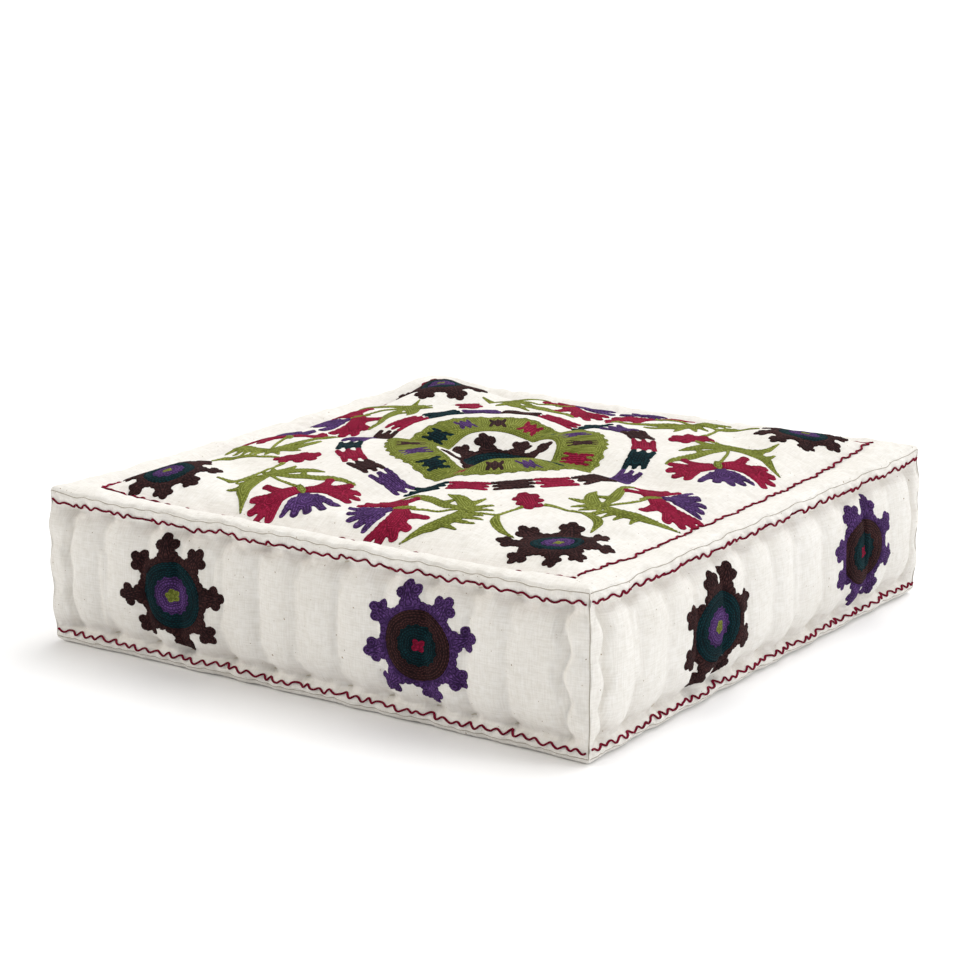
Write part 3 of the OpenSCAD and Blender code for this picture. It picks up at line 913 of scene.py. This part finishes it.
class Threads(Collected):
    """The threads of one piece: tubes along lines of points."""

    def add(self, points, radius, sides=6, squash=1.0):
        """Adds a tube along a line; the radius may vary along it."""
        count = len(points)
        radius = np.broadcast_to(np.asarray(radius, float), (count,))
        forward = unit(np.gradient(points, axis=0))
        up = np.array([0.0, 0.0, 1.0])
        if abs(forward[:, 2]).max() > 0.95:
            up = np.array([0.31, 0.95, 0.05])
        across = unit(np.cross(forward, up))
        lift = np.cross(across, forward)
        a = np.arange(sides) * 2 * np.pi / sides
        ring = np.cos(a)[None, :, None] * across[:, None]
        ring = ring + squash * np.sin(a)[None, :, None] * lift[:, None]
        tube = (points[:, None] + ring * radius[:, None, None]).reshape(-1, 3)
        i = np.arange(count - 1)[:, None] * sides
        j = np.arange(sides)[None, :]
        k = (j + 1) % sides
        quads = np.stack([i + j, i + k, i + sides + k, i + sides + j], -1).reshape(-1, 4)
        ends = [range(sides), range((count - 1) * sides, count * sides)[::-1]]
        run = np.cumsum(np.linalg.norm(np.diff(points, axis=0, prepend=points[:1]), axis=1))
        flat = np.stack([np.repeat(run, sides), np.tile(a / (2 * np.pi) * ROW, count)], -1)
        self.collect(tube, quads[:, ::-1], flat, ends)


# ---- materials ----


WHITE = (1, 1, 1, 1)
CANVAS_THREADS = 1.1 * MM  # length of the weave's pattern


def linear(colour):
    """A colour given as 0 to 255, in the shader's linear light."""
    parts = []
    for c in colour:
        c = c / 255
        parts.append(c / 12.92 if c <= 0.04045 else ((c + 0.055) / 1.055) ** 2.4)
    return (*parts, 1)


class Look:
    """A new material with its shader, and short ways to add nodes to it."""

    def __init__(self, name, roughness, sheen, sheen_roughness, specular):
        self.material = bpy.data.materials.new(name)
        self.material.use_nodes = True
        self.nodes = self.material.node_tree.nodes
        self.links = self.material.node_tree.links
        self.inputs = self.nodes["Principled BSDF"].inputs
        self.inputs["Roughness"].default_value = roughness
        self.inputs["Sheen Weight"].default_value = sheen
        self.inputs["Sheen Roughness"].default_value = sheen_roughness
        self.inputs["Specular IOR Level"].default_value = specular

    def feed(self, value, socket):
        """Links another node's output to a socket, or sets the socket to a plain value."""
        if isinstance(value, bpy.types.NodeSocket):
            self.links.new(value, socket)
        else:
            socket.default_value = value

    def maths(self, kind, *values):
        """A sum on one or two values."""
        node = self.nodes.new("ShaderNodeMath")
        node.operation = kind
        for socket, value in zip(node.inputs, values):
            self.feed(value, socket)
        return node.outputs[0]

    def add(self, a, b):
        return self.maths("ADD", a, b)

    def times(self, a, b):
        return self.maths("MULTIPLY", a, b)

    def place(self):
        """The point on the piece, in metres."""
        return self.nodes.new("ShaderNodeTexCoord").outputs["Object"]

    def flat(self):
        """The flat coordinates of the point, in metres."""
        node = self.nodes.new("ShaderNodeUVMap")
        node.uv_map = "flat"
        return node.outputs["UV"]

    def split(self, vector):
        """The first two parts of a vector."""
        node = self.nodes.new("ShaderNodeSeparateXYZ")
        self.links.new(vector, node.inputs[0])
        return node.outputs[0], node.outputs[1]

    def noise(self, vector, scale, detail, roughness=0.5):
        """Random patches; the scale is their number per metre."""
        node = self.nodes.new("ShaderNodeTexNoise")
        node.inputs["Scale"].default_value = scale
        node.inputs["Detail"].default_value = detail
        node.inputs["Roughness"].default_value = roughness
        self.links.new(vector, node.inputs["Vector"])
        return node.outputs["Fac"]

    def ramp(self, value, *stops):
        """A colour for a value, from (position, colour) stops."""
        node = self.nodes.new("ShaderNodeValToRGB")
        self.links.new(value, node.inputs["Fac"])
        elements = node.color_ramp.elements
        while len(elements) < len(stops):
            elements.new(0.5)
        for element, (position, colour) in zip(elements, stops):
            element.position = position
            element.color = colour
        return node.outputs["Color"]

    def mixed(self, kind, factor, a, b):
        """Two colours blended."""
        node = self.nodes.new("ShaderNodeMix")
        node.data_type = "RGBA"
        node.blend_type = kind
        for socket, value in ((0, factor), (6, a), (7, b)):
            self.feed(value, node.inputs[socket])
        return node.outputs[2]

    def finish(self, colour, height, distance):
        """Sets the surface's colour, and its relief from a height of 0 to 1 and a distance."""
        self.feed(colour, self.inputs["Base Color"])
        node = self.nodes.new("ShaderNodeBump")
        node.inputs["Strength"].default_value = 1.0
        node.inputs["Distance"].default_value = distance
        self.links.new(height, node.inputs["Height"])
        self.links.new(node.outputs["Normal"], self.inputs["Normal"])
        return self.material


def canvas_material():
    """Cream cotton canvas: plain weave, slubs, dark seed flecks and faint soiling."""
    look = Look("canvas", 0.92, 0.15, 0.5, 0.25)
    place, flat = look.place(), look.flat()
    pitch = 2 * math.pi / CANVAS_THREADS
    weave = look.times(*[look.maths("SINE", look.times(part, pitch)) for part in look.split(flat)])
    slubs = []
    for scale in ((70, 760, 1), (760, 70, 1)):
        stretched = look.nodes.new("ShaderNodeMapping")
        stretched.inputs["Scale"].default_value = scale
        look.feed(flat, stretched.inputs["Vector"])
        slubs.append(look.noise(stretched.outputs[0], 1.0, 3))
    slub = look.times(look.add(*slubs), 0.5)
    soil = look.noise(place, 7.0, 4, 0.6)
    fine = look.noise(place, 160.0, 3, 0.6)
    flecks = look.noise(place, 330.0, 1)
    colour = look.ramp(soil, (0.3, linear((238, 235, 229))), (0.7, linear((248, 246, 242))))
    tint = look.ramp(fine, (0.3, (0.93, 0.92, 0.90, 1)), (0.7, WHITE))
    colour = look.mixed("MULTIPLY", 1.0, colour, tint)
    threads = look.add(look.times(weave, 0.12), slub)
    tint = look.ramp(threads, (0.36, (0.87, 0.86, 0.84, 1)), (0.6, WHITE))
    colour = look.mixed("MULTIPLY", 1.0, colour, tint)
    rare = look.ramp(flecks, (0.76, (0, 0, 0, 1)), (0.80, WHITE))
    colour = look.mixed("MIX", rare, colour, linear((150, 128, 98)))
    height = look.add(look.times(weave, 0.35), look.times(slub, 1.2))
    return look.finish(colour, look.add(height, look.times(fine, 0.9)), 0.4 * MM)


def yarn_material(name, dark, mid, light, sheen):
    """Wool chain stitch: rows that follow the outline, made of slanting links, with painted shade
    between them and painted light on their crowns.
    """
    look = Look(name, 0.75, sheen, 0.3, 0.06)
    look.inputs["Sheen Tint"].default_value = linear(light)
    run, depth = look.split(look.flat())
    rows = look.times(depth, 1 / (ROW * MM))
    across = look.maths("ABSOLUTE", look.maths("SUBTRACT", look.maths("FRACT", rows), 0.5))
    crown = look.maths("SUBTRACT", 1.0, look.times(across, 2.0))
    offset = look.times(look.maths("FLOOR", rows), 0.37)
    link = look.add(look.times(run, 1 / (LINK * MM)), offset)
    link = look.maths("FRACT", look.add(link, look.times(across, 0.9)))
    beat = look.maths("SINE", look.times(link, math.pi))
    height = look.times(look.maths("POWER", crown, 0.6), look.add(look.times(beat, 0.6), 0.4))
    place = look.place()
    patches = look.noise(place, 45.0, 3, 0.55)
    fibres = look.times(look.noise(place, 900.0, 2, 0.6), 0.3)
    # Painted shade in the hollows between rows and links and painted light on their crowns, from the
    # height; random patches and fibres vary the tone.
    value = look.add(look.add(look.times(height, 0.45), look.times(patches, 0.35)), fibres)
    colour = look.ramp(value, (0.25, linear(dark)), (0.55, linear(mid)), (0.9, linear(light)))
    return look.finish(colour, look.add(height, fibres), 0.7 * MM)


def cotton_material(name, colour, scale):
    """Loose cotton: soft, slightly uneven and fibrous."""
    look = Look(name, 0.95, 0.4, 0.5, 0.2)
    place, light = look.place(), linear(colour)
    dark = (*[c * 0.86 for c in light[:3]], 1)
    patches = look.ramp(look.noise(place, scale, 4, 0.6), (0.3, dark), (0.7, light))
    return look.finish(patches, look.noise(place, scale * 9, 3, 0.6), 0.6 * MM)


CANVAS = canvas_material()
COTTON = cotton_material("cotton", (238, 234, 224), 60)
TUFT = cotton_material("tuft_cotton", (240, 236, 226), 240)
TWINE = cotton_material("twine", (214, 204, 184), 500)
# Seam thread: a real thread, coloured darker than the canvas as painted shade for the shadow line
# along each seam.
SEAM_THREAD_PAINTED_SHADE = cotton_material("seam", (172, 162, 146), 500)
# Each yarn's painted shade, middle tone and painted light, which random patches also reach, and how
# much its fibres shine.
YARN_TONES = {
    "brown": ((10, 5, 6), (36, 19, 21), (86, 53, 50), 0.5),
    "teal": ((1, 8, 11), (5, 24, 29), (18, 66, 72), 0.35),
    "purple": ((20, 10, 28), (56, 34, 75), (116, 80, 148), 0.5),
    "green": ((50, 56, 12), (108, 116, 44), (160, 166, 86), 0.04),
    "red": ((70, 6, 24), (128, 16, 48), (170, 40, 76), 0.03),
}
YARNS = {name: yarn_material(f"yarn_{name}", *tones) for name, tones in YARN_TONES.items()}
# The wave thread's yarn: the same painted shade and light, here across each thread.
THREAD = yarn_material("wave_thread", (66, 4, 22), (116, 12, 40), (156, 32, 68), 0.03)


# ---- the embroidery's layout ----

MEDALLION_PARTS = ["stars", "discs", "rings", "centres"]
STAR_ARMS = 8
SIDE_STAR_R = 62.0
# Middle of the brown and of the purple medallion on each side.
SIDE_STAR_S = [(-146, 132), (-104, 173), (-138, 138), (-138, 138)]
SIDE_STAR_Z = [(73, 76), (71, 74), (74, 74), (74, 74)]
SIDE_STAR_PRESSED = 0.9  # height of a side medallion over its width
CENTRE_STAR_R = 55.0
RING_IN, RING_OUT = 59.0, 107.0
BOW_RING_R = 83.0  # of the bows' middles
CHAIN_R = 142.0
BOW_COUNT = 16
BOW_COLOURS = ["teal", "purple", "brown", "red"]
LINK_COLOURS = BOW_COLOURS * 2 + BOW_COLOURS[2:] + BOW_COLOURS * 3
# Middle and radius of each corner medallion.
CORNER_STARS = [(215, -217, 59), (217, 221, 52), (-229, 225, 58), (-222, -225, 52)]
CORNER_STAR_DRAWN = [0.74, 0.84, 0.8, 0.84]  # how much their outer halves are drawn in


def quadrant(k):
    """Turns a point (a, b) of the near corner's quadrant to quadrant k; b points away."""
    angle = math.radians(90 * k)

    def turn(a, b):
        return (a * math.cos(angle) + b * math.sin(angle),
                a * math.sin(angle) - b * math.cos(angle))

    return turn


def flower(place, root, axis):
    """A flower: two red wings with rounded lobes, a purple fan between them and a calyx."""
    def at(angle, reach):
        a = math.radians(axis + angle)
        return place(root[0] + reach * math.cos(a), root[1] + reach * math.sin(a))

    red, purple = [], []
    for s in (-1, 1):
        red.append(brush([at(s * 88, 2), at(s * 80, 17), at(s * 70, 33)], [6.5, 10.5, 11.0]))
        for angle, reach in ((47, 49), (61, 52), (76, 50), (91, 44)):
            red.append(stroke([at(s * (angle * 0.5 + 35), 32), at(s * angle, reach)], [6.8, 4.8]))
        red.append(stroke([at(s * 100, 20), at(s * 118, 32)], [6.5, 4.2]))
        red.append(disc(*at(s * 121, 34), 5.2))
    purple.append(stroke([at(0, 6), at(0, 28)], [4.5, 12.5]))
    for angle, reach, end in ((-34, 44, 2.8), (-19, 43, 4.4), (-3, 46, 4.6), (14, 46, 4.6),
                              (31, 50, 3.6)):
        purple.append(stroke([at(angle * 0.75, 22), at(angle, reach)], [5.2, end]))
    calyx = brush([at(180, 12), at(180, 1), at(0, 9)], [1.9, 4.6, 0.7])
    return red, purple, calyx


def spray_strokes(place):
    """One spray, as lists of strokes by colour. place() puts a point on the top."""
    def line(points, widths):
        return brush([place(*p) for p in points], widths)

    def tooth(start, tip, width):
        return stroke([place(*start), place(*tip)], [width + 0.8, 1.3])

    green = [
        # stem from the bud to the junction of the leaves, and on to the flower
        line([(132, 188), (116, 194), (94, 192)], [1.9, 2.0, 2.2]),
        line([(94, 193), (74, 203), (54, 208)], [1.9, 1.9, 2.2]),
        # leaf beside the bud's stem
        line([(132, 186), (138, 201), (150, 212), (169, 216)], [1.6, 4.8, 4.6, 0.9]),
        # leaf towards the ring
        line([(103, 193), (92, 178), (76, 166), (57, 159)], [2.4, 8.0, 6.0, 1.0]),
        tooth((98, 186), (114, 168), 5.5),
        tooth((92, 178), (96, 155), 5.5),
        tooth((101, 189), (122, 180), 4.5),
        # arching leaf over the flower
        line([(96, 191), (70, 184), (46, 176), (28, 171), (14, 173)], [2.2, 6.0, 5.4, 3.4, 2.6]),
        tooth((66, 182), (76, 167), 4.6),
        # long toothed leaf
        line([(97, 193), (103, 210), (98, 228), (88, 242), (77, 260)], [2.0, 8.5, 8.0, 4.6, 1.0]),
        tooth((100, 203), (124, 198), 4.6),
        tooth((103, 210), (130, 207), 4.6),
        tooth((102, 218), (128, 218), 4.4),
        tooth((99, 228), (119, 232), 4.6),
    ]
    return green, *flower(place, (44, 211), 138)


# Each spray: its quadrant, whether it is mirrored across the diagonal, and its shift.
SPRAYS = [
    (0, False, (0, 0)), (0, True, (16, 2)), (1, False, (30, -8)), (1, True, (10, 0)),
    (2, False, (12, 0)), (2, True, (8, -3)), (3, False, (14, -2)), (3, True, (26, 0)),
]


def yarn_piece(motif, colour, *more):
    """An empty piece of embroidery; more is the rest of its CAD node's name, if there is any."""
    node = "_".join([motif, *more])
    return Stitching(f"{motif}_in_{colour}", f"yarn_{colour}", YARNS[colour], node)


def around(r, i, count):
    """Place i of a number of places on a circle, and its direction in degrees."""
    angle = 90 - (i + 0.5) * 360 / count
    return r * math.cos(math.radians(angle)), r * math.sin(math.radians(angle)), angle


def add_nested(pieces, panel, shapes, fit, place, half):
    """Adds shapes that lie inside each other, each without the next, as fit() lays them."""
    for k, piece in enumerate(pieces):
        inner = shapes[k + 1:k + 2]
        shape = without(shapes[k], *inner) if inner else shapes[k]
        piece.add(panel, fit(shape), *place, half)


def side_medallions(panels):
    """A brown and a purple medallion on each side."""
    made = []
    plans = [(["brown", "teal", "purple", "green"], 21, 5),
             (["purple", "brown", "teal", "red"], 22, 4)]
    for which, (colours, ring_r, petals) in enumerate(plans):
        pieces = [yarn_piece(f"side_{part}", c, c) for part, c in zip(MEDALLION_PARTS, colours)]
        for side, name in enumerate(SIDE_NAMES):
            s, z = SIDE_STAR_S[side][which], SIDE_STAR_Z[side][which]
            seed, turn = 300 + side + 10 * which, 8 + 7 * which + 11 * side
            shapes = [star(SIDE_STAR_R, seed), disc(0, 0, 35), scalloped(ring_r, 14, 3.2, seed),
                      rosette(8, petals)]

            def fit(shape, s=s, z=z, turn=turn):
                return pressed(moved(shape, s, z, turn), z, SIDE_STAR_PRESSED)

            add_nested(pieces, panels[name], shapes, fit, (s, z), SIDE_STAR_R + 6)
        made += pieces
    return made


def centre_medallion(top):
    """The star in the dimple; the tuft sits in the middle of its ring."""
    pieces = [yarn_piece("centre_star", "brown"), yarn_piece("centre_disc", "teal"),
              yarn_piece("centre_ring", "purple")]
    shapes = [star(CENTRE_STAR_R, 401), disc(0, 0, 33), scalloped(22, 16, 3.0, 402), disc(0, 0, 9)]
    add_nested(pieces, top, shapes, lambda shape: shape, (0, 0), 62)
    return pieces


def wide_ring(top):
    """The wide green ring, with the bows that are set into it."""
    bow_pieces = {c: yarn_piece("bows", c, c) for c in BOW_COLOURS}
    wide = without(scalloped(RING_OUT + 2, 46, 4.6, 403), disc(0, 0, RING_IN))
    for i in range(BOW_COUNT):
        cx, cy, angle = around(BOW_RING_R, i, BOW_COUNT)
        shape = moved(fingered(32, 19, 500 + i, 0.45), cx, cy, angle)
        bow_pieces[BOW_COLOURS[i % 4]].add(top, shape, cx, cy, 22)
        wide = without(wide, shape)
    ring = yarn_piece("wide_ring", "green")
    ring.add(top, wide, 0, 0, RING_OUT + 6)
    return [ring, *bow_pieces.values()]


def chain(top):
    """The chain of links around the wide ring."""
    pieces = {c: yarn_piece("links", c, c) for c in BOW_COLOURS}
    for i, colour in enumerate(LINK_COLOURS):
        cx, cy, angle = around(CHAIN_R, i, len(LINK_COLOURS))
        shape = moved(fingered(39, 26, 600 + i, 0.5), cx, cy, angle + 90)
        pieces[colour].add(top, shape, cx, cy, 28)
    return list(pieces.values())


def corner_medallions(top):
    """A medallion in each corner of the top."""
    colours = ["brown", "teal", "purple", "green"]
    pieces = [yarn_piece(f"corner_{part}", c) for part, c in zip(MEDALLION_PARTS, colours)]
    for k, (cx, cy, r) in enumerate(CORNER_STARS):
        shapes = [star(r, 420 + k), disc(0, 0, 27), scalloped(18, 12, 3, 430 + k), rosette(7, 4)]

        def fit(shape, k=k, cx=cx, cy=cy):
            return drawn_in(moved(shape, cx, cy, 20 + 17 * k), cx, cy, CORNER_STAR_DRAWN[k])

        add_nested(pieces, top, shapes, fit, (cx, cy), r + 6)
    return pieces


def sprays(top):
    """The leaves, stems and flowers in each quarter of the top, and the bud between them."""
    green = yarn_piece("stems_and_leaves", "green")
    red = yarn_piece("petals", "red", "red")
    purple = yarn_piece("petals", "purple", "purple")
    starts = [[], [], [], []]
    for k, mirrored, (da, db) in SPRAYS:
        turn = quadrant(k)

        def place(a, b, turn=turn, mirrored=mirrored, da=da, db=db):
            follow = smooth((150 - a) / 40)  # the end at the bud stays where it is
            a, b = a + da * follow, b + db * follow
            return turn(b, a) if mirrored else turn(a, b)

        starts[k].append(place(132, 188))
        leaves, wings, fan, calyx = spray_strokes(place)
        middle = place(80, 205)
        wings = union(*wings)
        green.add(top, union(calyx, *leaves), *middle, 105)
        red.add(top, without(wings, calyx, 0.8), *middle, 105)
        purple.add(top, without(union(*fan), union(wings, calyx), 0.4), *middle, 105)
    for k, (left, right) in enumerate(starts):
        turn = quadrant(k)
        shape = bud(turn)
        red.add(top, shape, *turn(128, 138), 40)
        stems = union(
            brush([turn(138, 150), turn(137, 166), left], [3.0, 1.9, 2.0]),
            brush([turn(150, 142), turn(166, 141), right], [3.0, 1.9, 2.0]),
        )
        green.add(top, without(stems, shape), *turn(155, 165), 60)
    return [green, red, purple]


def embroider(panels):
    """All the embroidery, as one piece for each yarn of each kind of motif."""
    top = panels["top"]
    for piece in (*side_medallions(panels), *centre_medallion(top), *wide_ring(top), *chain(top),
                  *corner_medallions(top), *sprays(top)):
        piece.make()


# ---- wave lines, stitches, tufts and twine ----


def wave_line(thread, panel, place, length, seed):
    """One wavy line of stitches; place() turns run and offset into flat coordinates."""
    run = np.arange(-length / 2, length / 2, 0.9)
    warped = run + 2.2 * wobble(run, seed, 60)
    size = 1.45 * (1 + 0.3 * wobble(run, seed + 1, 45))
    offset = size * np.sin(2 * np.pi * warped / WAVE_PITCH) + 0.8 * wobble(run, seed + 2, 130)
    thread.add(panel.place(*place(run, offset), np.full(len(run), 0.8)), WAVE_THREAD_R, 8, 0.8)


def make_wave_lines(panels):
    """The crimson wave stitching: one line inside each top edge, and two on each side."""
    for side, name in enumerate(SIDE_NAMES):
        def on_top(run, offset, side=side):
            return to_plan(side, run, HALF - WAVE_INSET - offset)

        thread = Threads(f"wave_stitches_top_{name}", "stitching_thread", THREAD,
                         f"top_wave_{name}")
        wave_line(thread, panels["top"], on_top, 2 * (HALF - WAVE_INSET) - 2, 700 + side)
        thread.make()
        thread = Threads(f"wave_stitches_side_{name}", "stitching_thread", THREAD,
                         f"side_waves_{name}")
        for height, seed in ((HIGH_WAVE, 720), (LOW_WAVE, 740)):
            def on_side(run, offset, height=height):
                return run, height + offset

            wave_line(thread, panels[name], on_side, 2 * HALF - 6, seed + side)
        thread.make()


def make_tacks(panels):
    """The short cream stitches that pull the rolls and the channels in."""
    threads = Threads("tack_stitches", "canvas", TWINE)
    t = np.linspace(-2.6, 2.6, 7)
    for side, name in enumerate(SIDE_NAMES):
        for row, height in TACK_ROWS:
            for place in tack_places(side, row)[1:-1]:
                level = np.full(7, height) + 0.25 * t
                threads.add(panels[name].place(place + t, level, 0.5 - 0.16 * t**2),
                            TACK_THREAD_R)
    threads.make()


def make_seams(panels):
    """The thread that shows in the seams around the top and the bottom and at the corners; its
    darker cream is painted shade for the seams' shadow lines.
    """
    threads = Threads("seam_thread", "canvas", SEAM_THREAD_PAINTED_SHADE)
    along = np.arange(-HALF + 1, HALF - 0.9, 2.0)
    up = np.arange(SEAM_LOW + 1, SEAM_HIGH - 0.9, 2.0)
    for name in SIDE_NAMES:
        for u, v in ((along, SEAM_LOW + 0.9), (along, SEAM_HIGH - 0.9), (HALF - 0.3, up)):
            u, v = np.broadcast_arrays(u, v)
            threads.add(panels[name].place(u, v, np.zeros(len(u))), SEAM_THREAD_R)
    threads.make()


def make_tuft(name, node, base, tip, count, seed):
    """A cotton tuft: a bunch of short cut strands that spread from the twine."""
    rng = np.random.default_rng(seed)
    threads = Threads(name, "tuft_cotton", TUFT, node)
    t = np.linspace(0, 1, 7)
    width = 0.75 * np.array([0.7, 0.9, 1, 1, 1, 0.9, 0.45])
    for _ in range(count):
        a = rng.uniform(0, 2 * np.pi)
        spread = math.sqrt(rng.uniform(0.0, 1.0))
        rise = (tip - base) * (1.0 - 0.62 * spread**2) * rng.uniform(0.86, 0.98)
        r = spread * TUFT_R * 0.86 * (0.25 * t + 0.75 * np.sin(t * np.pi / 2))
        twist = a + rng.uniform(-0.5, 0.5) * t
        z = base + rise * np.sin(t * np.pi / 2 * (0.75 + 0.25 * (1 - spread)))
        threads.add(np.stack([r * np.cos(twist), r * np.sin(twist), z], -1), width)
    threads.make()


def make_twine():
    """Three plies of twine between the tufts, through the stuffing."""
    threads = Threads("tuft_twine_plies", "twine", TWINE, "tuft_twine")
    z = np.arange(HOLLOW, SEAT + 0.1, 1.0)
    r = TWINE_R * 0.45
    for ply in range(3):
        a = 2 * np.pi * (z / TWIST + ply / 3)
        threads.add(np.stack([r * np.cos(a), r * np.sin(a), z], -1), TWINE_R * 0.5)
    threads.make()


# ---- room, light and camera ----

# The camera, from the photograph's perspective.
CAMERA_AT = (1.3785, -1.984, 0.7512)
CAMERA_AZIMUTH, CAMERA_ELEVATION, CAMERA_ROLL = 35.17, 14.25, -0.3
LENS = 96.7


def make_camera():
    """The camera at the photograph's viewing angle."""
    data = bpy.data.cameras.new("camera")
    data.lens = LENS
    data.sensor_width = 36
    data.clip_end = 100
    camera = bpy.data.objects.new("camera", data)
    camera.location = CAMERA_AT
    camera.rotation_mode = "XYZ"
    tilt = math.radians(90 - CAMERA_ELEVATION)
    turned = Euler((tilt, 0, math.radians(CAMERA_AZIMUTH)), "XYZ").to_matrix()
    roll = Euler((0, 0, math.radians(CAMERA_ROLL)), "XYZ").to_matrix()
    camera.rotation_euler = (turned @ roll).to_euler()
    bpy.context.scene.collection.objects.link(camera)
    bpy.context.scene.camera = camera


def soft_light(name, azimuth, elevation, strength, softness, colour=(1, 1, 1)):
    """Even light from far away. Azimuth 0 comes from the front and 90 from the right."""
    data = bpy.data.lights.new(name, "SUN")
    data.energy = strength
    data.color = colour
    data.angle = math.radians(softness)
    light = bpy.data.objects.new(name, data)
    a, e = math.radians(azimuth), math.radians(elevation)
    back = Vector((math.sin(a) * math.cos(e), -math.cos(a) * math.cos(e), math.sin(e)))
    light.rotation_euler = back.to_track_quat("Z", "Y").to_euler()
    bpy.context.scene.collection.objects.link(light)


def make_room():
    """The plain floor, the white surroundings and the lights."""
    look = Look("floor", 0.4, 0, 0.5, 0.15)
    look.inputs["Base Color"].default_value = (0.96, 0.96, 0.965, 1)
    mesh = bpy.data.meshes.new("floor")
    far = 30.0  # half the floor's side, in metres
    corners = [(-far, -far, 0), (far, -far, 0), (far, far, 0), (-far, far, 0)]
    mesh.from_pydata(corners, [], [(0, 1, 2, 3)])
    floor = bpy.data.objects.new("floor", mesh)
    floor.data.materials.append(look.material)
    bpy.context.scene.collection.objects.link(floor)
    world = bpy.data.worlds.new("world")
    bpy.context.scene.world = world
    world.use_nodes = True
    background = world.node_tree.nodes["Background"]
    background.inputs["Color"].default_value = (1, 1, 1, 1)
    background.inputs["Strength"].default_value = 0.6
    soft_light("overhead", 170, 62, 1.9, 50)
    soft_light("from_the_left", -62, 28, 0.95, 18, (1.0, 0.94, 0.84))
    soft_light("from_the_right", 112, 26, 0.9, 22)
    bpy.context.scene.view_settings.view_transform = "Standard"


# ---- putting it together ----

panels = make_panels()
settle_all(panels)
make_stuffing(panels)
panels = {name: panel.finer() for name, panel in panels.items()}
bottom_z = panels["bottom"].points[..., 2]
np.maximum(bottom_z, 0, out=bottom_z)  # nothing below the floor

make_camera()
make_room()
make_cover(panels)
embroider(panels)
make_wave_lines(panels)
make_tacks(panels)
make_seams(panels)
make_tuft("cotton_tuft_top", "top_tuft", SEAT, TUFT_TOP, 120, 801)
make_tuft("cotton_tuft_bottom", "bottom_tuft", HOLLOW, BOTTOM_TUFT_LOW, 90, 802)
make_twine()
